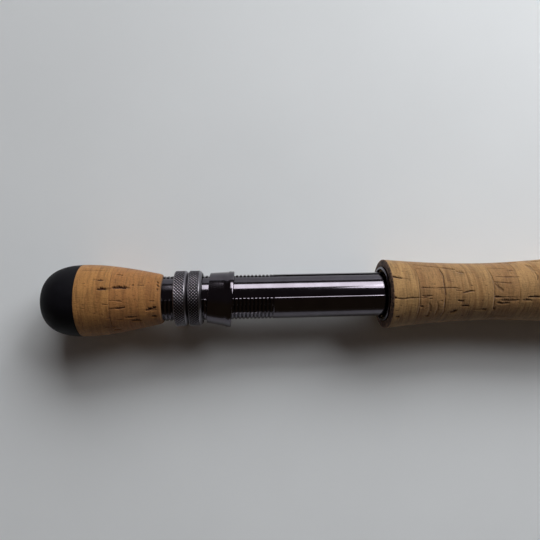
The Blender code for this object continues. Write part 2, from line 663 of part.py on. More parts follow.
def make_stripping_guide(number, x, clear_radius, frame_metal, ceramic, thread, carrier):
    """A ceramic ring in a rim, on one front leg and two rear legs, each ending in a foot."""
    index = section_at(x)
    foot_reach = STRIPPER_LEG_REACH + STRIPPER_FOOT_LENGTH
    base = blank_radius(index, x - foot_reach) + FIT_GAP
    rim_bore = clear_radius + STRIPPER_INSERT_WALL + FIT_GAP
    rim_outside = rim_bore + STRIPPER_RIM_WALL
    height = base + STRIPPER_STAND_OFF + rim_outside
    leg = STRIPPER_LEG_WIRE / 2
    foot_top = base + STRIPPER_FOOT_HEIGHT
    leg_end = base + leg * 1.05
    rim_middle = rim_bore + STRIPPER_RIM_WALL / 2
    name = f"stripping_guide_{number}"
    place = (carrier, (x, 0, 0), (-REEL_SIDE, 0, 0))
    rim = ring_mesh(rim_bore, STRIPPER_RIM_WALL, STRIPPER_RIM_WIDTH, height)
    frame = set_on(new_object(f"{name}_frame", rim, frame_metal), *place)
    half = STRIPPER_FOOT_WIDTH / 2
    front_leg = [
        (0, 0, height - rim_middle),
        (STRIPPER_LEG_REACH * 0.45, 0, base + STRIPPER_STAND_OFF * 0.45),
        (STRIPPER_LEG_REACH, 0, leg_end),
        (STRIPPER_LEG_REACH + STRIPPER_LEG_ON_FOOT, 0, leg_end),
    ]
    join_on(frame, tube_from(front_leg, leg), *place)
    for side in (-1, 1):
        aside = side * rim_middle
        on_foot = STRIPPER_LEG_ON_FOOT * (1 + 0.2 * side)
        rear_leg = [
            (0, aside * math.sin(STRIPPER_LEG_SPREAD), height - rim_middle * math.cos(STRIPPER_LEG_SPREAD)),
            (-STRIPPER_LEG_REACH * 0.5, aside * 0.5, base + STRIPPER_STAND_OFF * 0.8),
            (-STRIPPER_LEG_REACH, side * half * 0.4, leg_end),
            (-STRIPPER_LEG_REACH - on_foot, side * half * 0.3, leg_end),
        ]
        join_on(frame, tube_from(rear_leg, leg), *place)
    for side in (-1, 1):
        near = side * (STRIPPER_LEG_REACH - STRIPPER_LEG_ON_FOOT / 2)
        far = side * foot_reach
        foot = box_mesh((min(near, far), -half, base), (max(near, far), half, foot_top))
        join_on(frame, foot, *place)
    insert = ring_mesh(clear_radius, STRIPPER_INSERT_WALL, STRIPPER_INSERT_WIDTH, height)
    set_on(new_object(f"{name}_ring", insert, ceramic), *place)
    wrap_length = STRIPPER_FOOT_LENGTH - STRIPPER_FOOT_BARE
    front = x + STRIPPER_LEG_REACH + STRIPPER_FOOT_BARE
    rear = x - STRIPPER_LEG_REACH - STRIPPER_FOOT_BARE - wrap_length
    for start, end_name in ((rear, "rear"), (front, "front")):
        make_foot_wrap(f"{name}_{end_name}_wrap", index, start, start + wrap_length, foot_top, half,
                       thread, carrier)


def make_foot_wrap(name, index, start, end, foot_top, foot_half_width, thread, carrier):
    """Thread wound round the blank and the foot of a guide, so it stands out on the reel side."""
    below = blank_radius(index, start) + FIT_GAP
    top = foot_top + FIT_GAP + WRAP_THICKNESS
    bottom = below + WRAP_THICKNESS
    radius = (top + bottom) / 2
    lift = (top - bottom) / 2
    outside = [(start, radius - WRAP_THICKNESS / 2), (start + WRAP_TAPER, radius),
               (end - WRAP_TAPER, radius), (end, radius - WRAP_THICKNESS / 2)]
    wrap = turned(name, outside, None, thread, carrier, BLANK_SIDES)
    wrap.location += Vector((0, math.sin(REEL_SIDE), math.cos(REEL_SIDE))) * lift
    bore = [(start - CUTTER_MARGIN, below), (end + CUTTER_MARGIN, below)]
    hole = turned(f"{name}_bore", bore, None, None, carrier, BLANK_SIDES, cutters)
    add_boolean(wrap, "DIFFERENCE", hole)
    half = foot_half_width + FIT_GAP
    slot = box_mesh((-CUTTER_MARGIN, -half, 0),
                    (end - start + CUTTER_MARGIN, half, foot_top + FIT_GAP))
    slot_object = new_object(f"{name}_slot", slot, None, cutters)
    set_on(slot_object, carrier, (start, 0, 0), (-REEL_SIDE, 0, 0))
    add_boolean(wrap, "DIFFERENCE", slot_object)


def make_tip_top(metal, carrier):
    """A tube over the end of the tip, with a loop of wire on the reel side."""
    index = SECTION_COUNT - 1
    blank_end = section_end(index)
    start = blank_end - TIP_TUBE_LENGTH
    bore = blank_radius(index, start) + FIT_GAP
    outer = bore + TIP_TUBE_WALL
    end = blank_end + FIT_GAP + TIP_TUBE_WALL
    tube = turned("tip_top", [(start, outer), (end, outer)], None, metal, carrier, BLANK_SIDES)
    hole = turned("tip_top_bore", [(start - CUTTER_MARGIN, bore), (blank_end + FIT_GAP, bore)], None,
                  None, carrier, BLANK_SIDES, cutters)
    add_boolean(tube, "DIFFERENCE", hole)
    wire = TIP_WIRE / 2
    loop = []
    for step in range(TIP_LOOP_STEPS):
        turn = math.tau * step / TIP_LOOP_STEPS
        along = TIP_LOOP_RADIUS * (1 - math.cos(turn))
        across = TIP_LOOP_RADIUS * math.sin(turn)
        loop.append((
            along * math.cos(TIP_LOOP_LEAN),
            across,
            outer - wire / 2 + along * math.sin(TIP_LOOP_LEAN),
        ))
    join_on(tube, tube_from(loop, wire, closed=True), carrier, (end, 0, 0), (-REEL_SIDE, 0, 0))


def make_hook_keeper(metal):
    """A small loop of wire in front of the grip, to hang the fly on."""
    x = GRIP_END + KEEPER_FROM_GRIP
    wire = KEEPER_WIRE / 2
    base = blank_radius(0, x - KEEPER_LENGTH) + FIT_GAP + wire
    half = KEEPER_LENGTH / 2
    top = base + KEEPER_HEIGHT
    points = [
        (-half - KEEPER_FOOT_LENGTH, 0, base), (-half, 0, base),
        (-half * 0.75, 0, base + KEEPER_HEIGHT * 0.35),
        (-half * 0.45, 0, top - KEEPER_HEIGHT * 0.15), (0, 0, top),
        (half * 0.45, 0, top - KEEPER_HEIGHT * 0.15), (half * 0.75, 0, base + KEEPER_HEIGHT * 0.35),
        (half, 0, base), (half + KEEPER_FOOT_LENGTH, 0, base),
    ]
    keeper = new_object("hook_keeper", tube_from(points, wire), metal)
    set_on(keeper, None, (x, 0, 0), (-REEL_SIDE, 0, 0))


def main():
    clear_scene()
    rubber = finish("butt_rubber", (0.02, 0.02, 0.022), 0.85)
    cork = finish("cork", (0.62, 0.44, 0.26), 0.8)
    composite = finish("composite_cork", (0.16, 0.09, 0.05), 0.7)
    seat_metal = finish("anodised_gunmetal", (0.12, 0.11, 0.125), 0.25, 1)
    bright_metal = finish("stainless_steel", (0.55, 0.55, 0.56), 0.3, 1)
    carbon = finish("carbon_blank", (0.03, 0.035, 0.045), 0.35)
    plastic = finish("nylon", (0.75, 0.74, 0.7), 0.5)
    thread = finish("wrapping_thread", (0.02, 0.02, 0.025), 0.3)
    ceramic = finish("guide_ceramic", (0.03, 0.03, 0.035), 0.15)

    make_fighting_butt(rubber, cork, plastic)
    make_barrel(seat_metal, plastic)
    make_lock_rings(seat_metal, plastic)
    make_sliding_hood(seat_metal)
    make_fixed_hood(seat_metal)
    make_grip(cork, composite, seat_metal)
    carriers = [None]
    for index in range(1, SECTION_COUNT):
        carriers.append(carrier_empty(f"section_{index + 1}_carrier", section_start(index)))
    make_blank(carbon, thread, carriers)
    make_snake_guides(bright_metal, carriers)
    for number, clear_radius in enumerate(STRIPPER_RING_RADII, 1):
        x = guide_place(GUIDE_COUNT + 1 - number)
        make_stripping_guide(number, x, clear_radius, bright_metal, ceramic, thread,
                             carriers[section_at(x)])
    make_tip_top(bright_metal, carriers[-1])
    make_hook_keeper(bright_metal)
    for obj in parts.objects:
        if obj.type == "MESH":
            obj.data.shade_smooth()
            obj.data.set_sharp_from_angle(angle=math.radians(35))


main()
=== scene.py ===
# %% [markdown]
# A four-piece saltwater fly rod lies on a pale table, seen from above at its butt end.
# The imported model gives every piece's place and size. This file gives each piece its finish.
# Lengths are written in millimetres and angles in degrees, as a rod maker would note them.

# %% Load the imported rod
import json
import math

import bmesh
import bpy
import numpy as np
from mathutils import Matrix, Vector


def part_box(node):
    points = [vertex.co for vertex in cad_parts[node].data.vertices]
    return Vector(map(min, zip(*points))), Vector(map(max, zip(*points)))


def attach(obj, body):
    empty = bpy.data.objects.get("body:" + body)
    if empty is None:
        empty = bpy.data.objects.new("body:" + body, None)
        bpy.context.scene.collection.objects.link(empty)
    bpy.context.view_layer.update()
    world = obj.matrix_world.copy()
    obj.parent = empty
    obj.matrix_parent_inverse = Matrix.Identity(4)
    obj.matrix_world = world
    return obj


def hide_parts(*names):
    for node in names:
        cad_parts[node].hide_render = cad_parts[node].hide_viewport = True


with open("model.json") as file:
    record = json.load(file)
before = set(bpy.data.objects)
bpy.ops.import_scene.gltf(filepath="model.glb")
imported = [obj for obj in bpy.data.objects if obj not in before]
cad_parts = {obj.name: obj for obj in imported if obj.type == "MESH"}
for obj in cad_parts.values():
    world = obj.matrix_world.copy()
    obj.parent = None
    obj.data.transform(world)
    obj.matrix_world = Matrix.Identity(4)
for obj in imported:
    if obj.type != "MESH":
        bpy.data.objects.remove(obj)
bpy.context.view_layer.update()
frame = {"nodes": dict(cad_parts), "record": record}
nodes = frame["nodes"]
MM = 0.001
REEL_SIDE = math.radians(29)  # the guides' and the channel's side, from +Z towards +Y
body_of = {}
for body, members in frame["record"]["behaviour"]["bodies"].items():
    for member in members:
        body_of[member] = body

# %% [markdown]
# Nearly everything on a rod is turned on a lathe, so nearly everything here is a grid of points:
# the rows follow the piece's outline, and the columns go round the rod's axis.
# A screw modifier would do that too, but a grid of numbers can also be dented, threaded or knurled.

# %% Points round the rod's axis
def turned_points(along, radius, angle):
    """A grid of points. Angle 0 is the top of the rod, and angles grow towards +Y."""
    along, radius, angle = np.broadcast_arrays(along, radius, angle)
    return np.stack([along, radius * np.sin(angle), radius * np.cos(angle)], axis=-1)


def round_angles(columns):
    """Angles of evenly spaced columns, as one row."""
    return (np.arange(columns) * math.tau / columns)[None, :]


def ring_grid(outside, bore, columns):
    """Points of a ring whose outside and bore are lists of (place, radius), rear end first."""
    loop = np.array(list(outside) + list(bore)[::-1])
    return turned_points(loop[:, :1], loop[:, 1:], round_angles(columns))


def bored_grid(along, outside, bore, angle):
    """Points of a ring whose outside is a grid of radii. Its bore runs straight back to its rear."""
    inside = np.broadcast_to(bore, (2, angle.size))
    return turned_points(np.concatenate([along, along[[-1, 0]]]),
                         np.concatenate([outside, inside]), angle)


# %% Objects and closed bodies
def linked(name, data):
    """A new object, in the scene."""
    made = bpy.data.objects.new(name, data)
    bpy.context.scene.collection.objects.link(made)
    return made


def closed_piece(name, points, sharp=35, poles=False):
    """Skins a grid in millimetres. Its columns meet, and its rows too, or they end in two points."""
    rows, columns = points.shape[:2]
    number = np.arange(rows * columns).reshape(rows, columns)
    ahead = number[1:] if poles else np.roll(number, -1, axis=0)
    here = number[:-1] if poles else number
    quads = np.stack([here, ahead, np.roll(ahead, -1, axis=1), np.roll(here, -1, axis=1)], axis=-1)
    mesh = bpy.data.meshes.new(name)
    mesh.from_pydata((points * MM).reshape(-1, 3).tolist(), [], quads.reshape(-1, 4).tolist())
    if poles:
        shape = bmesh.new()
        shape.from_mesh(mesh)
        bmesh.ops.remove_doubles(shape, verts=shape.verts, dist=1e-7)
        shape.to_mesh(mesh)
        shape.free()
    mesh.shade_smooth()
    mesh.set_sharp_from_angle(angle=math.radians(sharp))
    return linked(name, mesh)


def keep_values(piece, grids):
    """Each named grid of numbers stays with the piece's points, where its finish reads it."""
    for name, grid in grids.items():
        piece.data.attributes.new(name, "FLOAT", "POINT").data.foreach_set("value", grid.ravel())


# %% Put a piece on the rod
def put_on(piece, body, finish):
    piece.data.materials.append(finish)
    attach(piece, body)


def stand_for(piece, node, finish):
    """The piece takes the place of a CAD node, on the same body."""
    put_on(piece, body_of[node], finish)
    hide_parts(node)
    return piece


def ring_for(node, ending, outside, bore, columns, finish, sharp=35):
    """A turned ring takes the place of a CAD node."""
    piece = closed_piece(f"{node}_{ending}", ring_grid(outside, bore, columns), sharp)
    stand_for(piece, node, finish)


def span_of(node):
    """Where a node starts and ends along the rod, in millimetres."""
    low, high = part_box(node)
    return low.x / MM, high.x / MM


def points_of(node):
    """A node's corners, in millimetres."""
    return np.array([vertex.co for vertex in nodes[node].data.vertices]) / MM


def family(start):
    """The names of the nodes that begin so, in order."""
    return sorted(name for name in nodes if name.startswith(start))


# %% [markdown]
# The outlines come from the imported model, so that the finished pieces are exactly as large.
# The model has few stations along a curve. A cubic through them gives the turned cork its flow.

# %% Read an outline
def outline(*names):
    """Places along the rod and the largest radius at each, over some turned nodes. In millimetres."""
    points = []
    for name in names:
        mesh = nodes[name].data
        for face in mesh.polygons:
            if face.normal.yz.dot(face.center.yz) > 0:  # it faces away from the axis
                points += [mesh.vertices[number].co for number in face.vertices]
    points = np.array(points) / MM
    radius = np.hypot(points[:, 1], points[:, 2])
    places = np.round(points[:, 0], 2)
    stations = np.unique(places)
    return stations, np.array([radius[places == place].max() for place in stations])


def flowing(curve, at):
    """The value of a curve, given by its stations, at other places, with no corners.

    Each station's slope is the harmonic mean of its neighbours' and 0 at a peak, so no bulge appears.
    """
    x, y = curve
    rise = np.diff(y) / np.diff(x)
    product = np.maximum(rise[:-1] * rise[1:], 0)
    inner = 2 * product / np.maximum(abs(rise[:-1] + rise[1:]), 1e-9) * np.sign(rise[1:])
    slope = np.concatenate([rise[:1], inner, rise[-1:]])
    i = np.clip(np.searchsorted(x, at) - 1, 0, len(x) - 2)
    step = x[i + 1] - x[i]
    t = np.clip((at - x[i]) / step, 0, 1)
    return ((2 * t**3 - 3 * t**2 + 1) * y[i] + (t**3 - 2 * t**2 + t) * step * slope[i]
            + (3 * t**2 - 2 * t**3) * y[i + 1] + (t**3 - t**2) * step * slope[i + 1])


BUTT_RINGS = family("butt_cork_ring")
GRIP_RINGS = family("grip_cork_ring")
butt_outline = outline("butt_cap", *BUTT_RINGS)
grip_outline = outline("grip_rear_face", *GRIP_RINGS, "grip_front_ring")
print("butt", round(butt_outline[1].max(), 2), "grip", round(grip_outline[1].max(), 2))

# %% [markdown]
# Every finish is made from a few shader nodes. These helpers keep each one short.
# A number or a colour that is the same all over goes straight on the shader's own socket.

# %% Shader helpers
def new_finish(name, **shader_values):
    """A material with a Principled shader, and the object's own coordinates in metres."""
    material = bpy.data.materials.new(name)
    material.use_nodes = True
    tree = material.node_tree
    shader = tree.nodes["Principled BSDF"]
    for socket, value in shader_values.items():
        shader.inputs[socket.replace("_", " ")].default_value = value
    place = tree.nodes.new("ShaderNodeTexCoord").outputs["Object"]
    return material, tree, shader, place


def add(tree, kind, values=(), **settings):
    """A shader node. Each value is a socket to link, or a number or colour to set."""
    made = tree.nodes.new("ShaderNode" + kind)
    for setting, value in settings.items():
        setattr(made, setting, value)
    for socket, value in dict(values).items():
        if isinstance(value, bpy.types.NodeSocket):
            tree.links.new(value, made.inputs[socket])
        else:
            made.inputs[socket].default_value = value
    return made


def stretched(tree, place, scale):
    """Coordinates times a scale, so that a pattern runs long one way."""
    return add(tree, "Mapping", {"Vector": place, "Scale": scale}).outputs["Vector"]


def noise(tree, place, size, detail=3.0, distortion=0.0):
    """Soft random values from 0 to 1, whose blobs are about size millimetres."""
    values = {"Vector": place, "Scale": 1 / (size * MM), "Detail": detail, "Distortion": distortion}
    return add(tree, "TexNoise", values).outputs["Fac"]


def ramp(tree, value, stops):
    """Colours over a value. Each stop is (value, colour) or (value, grey)."""
    made = add(tree, "ValToRGB", {"Fac": value})
    elements = made.color_ramp.elements
    while len(elements) < len(stops):
        elements.new(0.5)
    for element, (position, colour) in zip(elements, stops):
        element.position = position
        element.color = (*colour, 1) if isinstance(colour, tuple) else (colour, colour, colour, 1)
    return made.outputs["Color"]


def mixed(tree, share, a, b, how="MIX"):
    """Colour a and colour b, by a share."""
    made = add(tree, "Mix", data_type="RGBA", blend_type=how)
    for socket, value in ((0, share), (6, a), (7, b)):
        if isinstance(value, bpy.types.NodeSocket):
            tree.links.new(value, made.inputs[socket])
        else:
            made.inputs[socket].default_value = value if socket == 0 else (*value, 1)
    return made.outputs[2]


def maths(tree, operation, a, b=0.0, c=0.0):
    return add(tree, "Math", {0: a, 1: b, 2: c}, operation=operation).outputs[0]


def bump(tree, shader, height, depth, below=None):
    """Small relief: a height from 0 to 1, as deep as depth millimetres."""
    made = add(tree, "Bump", {"Height": height, "Distance": depth * MM, "Strength": 1.0})
    if below:
        tree.links.new(below.outputs["Normal"], made.inputs["Normal"])
    tree.links.new(made.outputs["Normal"], shader.inputs["Normal"])
    return made


def kept_value(tree, name):
    """A value that the mesh's points carry. It is 0 on a mesh without it."""
    return add(tree, "Attribute", attribute_name=name).outputs["Fac"]


def clouded_finish(name, cloud, colours, grain, depth, haze=None, detail=2.0, **shader_values):
    """A plain finish: soft clouds of two near colours over a fine grain. Sizes are in millimetres.

    haze is the range of the roughness, where that changes with the clouds too.
    """
    material, tree, shader, place = new_finish(name, **shader_values)
    clouds = noise(tree, place, cloud)
    for socket, ends in (("Base Color", colours), ("Roughness", haze)):
        if ends:
            tree.links.new(ramp(tree, clouds, [(0.3, ends[0]), (0.7, ends[1])]), shader.inputs[socket])
    bump(tree, shader, noise(tree, place, grain, detail), depth)
    return material


# %% [markdown]
# Cork is bark. Each ring is cut so that the tree's growth lines go round the rod,
# and the pores run along it, as dark slits. So the colour bands change quickly along X only.
# A solid texture fits, as the rings are turned from solid cork: the pattern goes right through.
# Each ring comes from another piece of bark, so its "ring_shift" moves the pattern sideways.

# %% Cork finish
PIT_BOTTOM = (0.046, 0.014, 0.005)


def cork_finish(name, pale, deep, red):
    """pale and deep are the colours of new and old growth. red is a ring of darker bark."""
    material, tree, shader, place = new_finish(name, Roughness=0.78, Specular_IOR_Level=0.3,
                                               Sheen_Weight=0.22, Sheen_Roughness=0.45)
    shift = kept_value(tree, "ring_shift")
    aside = add(tree, "CombineXYZ", {"Y": shift, "Z": shift}).outputs["Vector"]
    place = add(tree, "VectorMath", {0: place, 1: aside}, operation="ADD").outputs["Vector"]
    growth = noise(tree, stretched(tree, place, (1, 0.09, 0.09)), 1.7, 2.0, 0.25)
    fine_growth = noise(tree, stretched(tree, place, (1, 0.13, 0.13)), 0.75, 2.0, 0.4)
    patches = noise(tree, place, 8, 2.0)
    mottle = noise(tree, stretched(tree, place, (0.7, 1, 1)), 0.45, 3.0)
    slits = noise(tree, stretched(tree, place, (0.25, 1, 1)), 0.6, 1.0, 0.3)
    edge = maths(tree, "ABSOLUTE", maths(tree, "SUBTRACT", growth, 0.5))
    colour = ramp(tree, growth, [(0.36, deep), (0.5, pale), (0.66, pale)])
    colour = mixed(tree, kept_value(tree, "ring_tone"), colour, red)
    shades = ((0.5, edge, [(0.0, 0.45), (0.022, 1.0)]),
              (0.45, fine_growth, [(0.36, 0.5), (0.5, 1.0)]),
              (0.5, patches, [(0.32, 0.62), (0.66, 1.0)]),
              (0.5, mottle, [(0.32, 0.58), (0.6, 1.03)]))
    for share, value, stops in shades:
        colour = mixed(tree, share, colour, ramp(tree, value, stops), "MULTIPLY")
    for share in (ramp(tree, slits, [(0.235, 0.85), (0.30, 0.0)]), kept_value(tree, "pit")):
        colour = mixed(tree, share, colour, PIT_BOTTOM)
    tree.links.new(colour, shader.inputs["Base Color"])
    relief = bump(tree, shader, slits, 0.12)
    relief = bump(tree, shader, growth, 0.10, relief)
    bump(tree, shader, mottle, 0.05, relief)
    return material


BUTT_CORK = cork_finish("butt_cork", (0.41, 0.195, 0.056), (0.29, 0.127, 0.034), (0.30, 0.118, 0.036))
GRIP_CORK = cork_finish("grip_cork", (0.42, 0.245, 0.092), (0.265, 0.14, 0.047), (0.26, 0.125, 0.044))

# %% [markdown]
# The slits, cracks and chips are real dents in the mesh. A mark follows a short path on the cork:
# along the rod where a pore runs, or round it where a glue seam has opened. It is deepest in
# its middle and runs out at both ends. Each grid point also keeps how dark it is, as "pit".

# %% Dent the cork
def dent(along, angle, radius, depth, dark, mark):
    """Adds one mark to the grids of depth and darkness. Its path is in millimetres and degrees."""
    width, deep, shade, *path = mark
    places, turns = np.array(path).T
    turns = np.radians(turns)
    goes_round = np.ptp(turns) * radius.mean() > np.ptp(places)
    ragged = np.sin(angle * 31 + along * 4.7 + width * 7) * np.sin(angle * 13 - along * 2.3)
    wander = 0.16 * width * ragged
    if goes_round:
        order = np.argsort(turns)
        centre = np.interp(angle, turns[order], places[order])
        gap = along - centre - wander
        share = (angle - (turns.max() + turns.min()) / 2) / (np.ptp(turns) / 2)
    else:
        centre = np.interp(along, places, turns)
        turn = (angle - centre + math.pi) % math.tau - math.pi
        gap = turn * radius - wander
        share = (along - (places.max() + places.min()) / 2) / (np.ptp(places) / 2)
    taper = np.sqrt(np.clip(1 - share**2, 0, 1))
    across = gap / (width / 2 * (0.3 + 0.7 * taper) * (1 + 0.35 * ragged))
    inside = np.exp(-1.6 * across**2) * np.minimum(1, 1.8 * taper)
    np.maximum(depth, inside * deep, out=depth)
    np.maximum(dark, np.clip(inside * 1.9 - 0.35, 0, 1) * shade, out=dark)


def pores(rng, start, end, count, largest, shown):
    """Marks for the cork that the photograph doesn't show: many small slits and a few large ones.

    shown is how many degrees the photograph shows on each side of the top, with marks of their own.
    """
    marks = []
    for _ in range(count):
        size = largest * (0.2 + 0.8 * rng.random() ** 3)
        place, turn = rng.uniform(start, end), rng.uniform(shown, 360 - shown)
        slant = rng.uniform(-4, 4)
        marks.append((0.35 + 0.11 * size, 0.15 + 0.06 * size, rng.uniform(0.5, 1),
                      (place - size / 2, turn), (place, turn + slant), (place + size / 2, turn)))
    return marks


# %% [markdown]
# The side that the photograph shows has its own marks, placed where they are there.
# Each is (width, depth, darkness, path), and a path is a few (place, angle) points.

# %% Marks on the butt
BUTT_MARKS = [
    (0.40, 0.20, 0.60, (17.7, 57.5), (23, 58.2), (28.3, 59)),
    (0.60, 0.25, 0.45, (23.0, 36.8), (25.2, 36.4)),
    (0.80, 0.35, 0.90, (25.0, 36.2), (27.2, 36.4)),
    (1.30, 0.80, 1.00, (25.2, 20.4), (27.2, 21.4), (28.8, 21.2)),
    (0.50, 0.25, 0.60, (28.2, 21.4), (30.2, 20.8)),
    (0.60, 0.30, 0.60, (29.8, 22.0), (31.6, 24.0)),
    (1.40, 0.90, 1.00, (30.8, 23.6), (33.4, 25.2), (36.2, 24.4)),
    (0.50, 0.30, 0.70, (35.4, 24.6), (37.6, 24.0)),
    (0.60, 0.30, 0.60, (31.4, 51.5), (34.3, 51.0)),
    (0.55, 0.40, 0.95, (38.0, 30.6), (38.8, 30.8)),
    (0.35, 0.20, 0.55, (39.8, 30.6), (42.6, 31.4)),
    (0.50, 0.20, 0.45, (29.4, 1.0), (31, 2.2), (33.4, 1.0), (35.2, 3.0)),
    (0.60, 0.25, 0.45, (32.6, 0.6), (34.6, -0.4)),
    (0.45, 0.25, 0.70, (27.2, -3.4), (29.4, -4.6)),
    (0.50, 0.30, 0.70, (29.4, -12.4), (31.6, -11.4), (33.4, -10.4)),
    (0.90, 0.45, 0.85, (31.8, -11.0), (33.2, -12.2), (35.6, -10.6)),
    (0.45, 0.25, 0.80, (44.6, -1.0), (46.9, -1.2)),
    (1.30, 0.80, 1.00, (43.2, -20.6), (45.2, -18.4), (47.2, -16.0)),
    (0.60, 0.30, 0.70, (45.2, -22.0), (47.4, -20.8)),
    (1.00, 0.50, 0.90, (45.0, -36.4), (47.2, -38.6)),
    (0.80, 0.40, 0.80, (35.2, -30.0), (37.4, -31.4), (39.8, -32.0)),
    (1.00, 0.55, 0.95, (37.4, -39.4), (39.2, -40.6), (41.2, -42.8)),
    (0.45, 0.25, 0.60, (31.8, -33.4), (34.4, -33.2)),
    (0.60, 0.30, 0.70, (27.0, -46.0), (28.6, -47.2)),
    (0.60, 0.30, 0.60, (29.2, -47.5), (31.2, -49.5)),
    (0.80, 0.40, 0.70, (29.8, -58.0), (32.6, -59.0)),
    (0.45, 0.25, 0.70, (28.6, -28.4), (30.0, -28.0)),
    (0.90, 0.60, 0.85, (47.4, 46.0), (47.9, 40.0)),
    (1.00, 0.60, 0.90, (47.5, 37.0), (48.1, 31.0)),
    (0.80, 0.50, 0.85, (47.5, 27.0), (47.9, 21.0)),
    (0.50, 0.12, 0.35, (29.7, 60), (29.9, 20), (29.6, -20), (29.9, -60)),
]

# %% Marks on the grip
GRIP_MARKS = [
    (0.90, 0.60, 1.00, (140.5, 31.6), (143.6, 30.6), (146.8, 28.2)),
    (0.40, 0.20, 0.45, (146.0, 28.6), (150.0, 26.6)),
    (1.20, 0.70, 1.00, (141.6, -2.4), (143.6, -4.2)),
    (0.60, 0.35, 0.80, (143.2, -4.2), (146.2, -6.4), (149, -5.0), (153.2, -5.2)),
    (0.40, 0.20, 0.50, (152.6, -5.2), (156.0, -5.0)),
    (0.60, 0.30, 0.70, (153.2, 64.0), (157, 61), (161, 59), (166, 56.5)),
    (0.90, 0.45, 0.85, (164.6, 57.0), (168, 54.6), (171.2, 51.5)),
    (1.50, 0.35, 0.50, (170.6, 48.0), (172.2, 44.0), (174.0, 42.5)),
    (0.50, 0.25, 0.50, (153.4, 52.0), (156.4, 49.5)),
    (0.65, 0.30, 0.80, (153.9, 11.2), (156, 12.0), (158.2, 11.0)),
    (0.40, 0.20, 0.50, (157.6, 11.0), (161.6, 10.8)),
    (0.60, 0.30, 0.75, (160.6, 11.6), (164, 11.0), (168, 11.4), (171.2, 9.0)),
    (0.75, 0.30, 0.65, (154.2, -1.4), (156, -3.2), (159.0, -2.2)),
    (0.50, 0.25, 0.60, (154.4, -6.0), (156.8, -5.4)),
    (0.60, 0.30, 0.75, (157.4, -7.4), (158.8, -7.6)),
    (0.55, 0.30, 0.75, (163.9, 56), (164.2, 44), (164.6, 34), (164.2, 24), (164.3, 8), (164.5, -6)),
    (0.55, 0.25, 0.55, (164.4, -4), (164.3, -20), (164.6, -36), (163.6, -48)),
    (0.50, 0.16, 0.26, (152.8, 52), (153.6, 38), (153.4, 14), (153.6, -16), (153.1, -52)),
    (1.10, 0.50, 0.95, (143.8, -37.8), (145.6, -38.4)),
    (0.90, 0.45, 0.90, (156.8, -42.0), (158.4, -42.6)),
    (0.90, 0.40, 0.80, (153.8, -20.8), (155.2, -21.6)),
    (1.80, 0.60, 0.85, (167.4, -38.0), (168.8, -36.6), (170.2, -33.4)),
    (0.90, 0.45, 0.90, (169.8, -13.2), (172.4, -14.4)),
    (0.60, 0.25, 0.60, (162.4, -12.6), (163.4, -12.8)),
    (0.80, 0.40, 0.90, (171.8, 0.8), (173.4, 2.4), (175.4, 4.4), (177.2, 4.2)),
    (0.45, 0.25, 0.50, (168.8, 6.6), (171.8, 4.6)),
    (0.85, 0.45, 0.90, (171.6, -24.2), (175.2, -24.8)),
    (0.40, 0.20, 0.55, (176.4, -33.0), (181.4, -34.0)),
    (1.20, 0.50, 0.80, (181.0, -33.8), (182.8, -34.4)),
    (0.55, 0.20, 0.32, (184.8, 62), (185.3, 40), (185.7, 20), (185.4, 2), (185.6, -30)),
    (0.55, 0.25, 0.60, (185.0, 21.4), (189, 19.6), (193.4, 17.2)),
    (0.50, 0.25, 0.55, (186.6, 32.8), (191, 31.0), (197.4, 29.6)),
    (0.60, 0.30, 0.85, (190.6, 30.8), (194.2, 30.6)),
    (2.40, 0.30, 0.45, (185.9, 18.0), (187.6, 10.0), (189.4, 3.5)),
    (0.90, 0.45, 0.95, (185.4, -7.8), (188.4, -8.6)),
    (0.40, 0.20, 0.70, (187.6, -8.4), (196.8, -9.8)),
    (0.85, 0.45, 0.95, (199.4, -9.6), (202.4, -9.0), (206.0, -9.6)),
    (1.30, 0.30, 0.55, (188.2, -14.6), (192, -15.8), (196.2, -14.8)),
    (0.85, 0.40, 0.85, (197.4, -15.0), (201.6, -15.4)),
    (0.95, 0.40, 0.75, (186.6, -19.6), (189, -21.6), (192.4, -20.4)),
    (1.60, 0.50, 0.85, (185.6, -31.0), (186.6, -34.0)),
    (0.40, 0.20, 0.55, (183.4, -53.0), (189, -54.0), (194.6, -54.0)),
    (0.45, 0.20, 0.55, (184.6, 55.6), (192.8, 52.0)),
    (0.45, 0.25, 0.60, (193.0, 45.6), (195.8, 45.0)),
    (2.60, 0.25, 0.42, (202.6, 62.0), (204.0, 50.0), (204.6, 40.0)),
    (0.60, 0.35, 0.75, (204.2, 40.0), (204.9, 31.0), (204.2, 21.0)),
    (1.50, 0.20, 0.22, (157.6, -14.0), (158.2, -26.0), (157.8, -40.0)),
    (1.20, 0.20, 0.22, (161.0, -12.0), (161.6, -26.0), (161.0, -42.0)),
    (0.80, 0.40, 0.80, (205.6, -30.0), (209.8, -31.0)),
    (0.70, 0.35, 0.80, (208.6, 8.0), (213.0, 7.0)),
    (0.60, 0.30, 0.70, (211.6, 36.0), (218.0, 34.0)),
]

# %% [markdown]
# The rings are turned together, so each follows one flowing outline between its two seams.
# At a seam the cork is a hair lower, and a little glue shows, more in some places than in others.

# %% One cork ring
SEAM_DEPTH = 0.05
BORE_WALL = 3.5


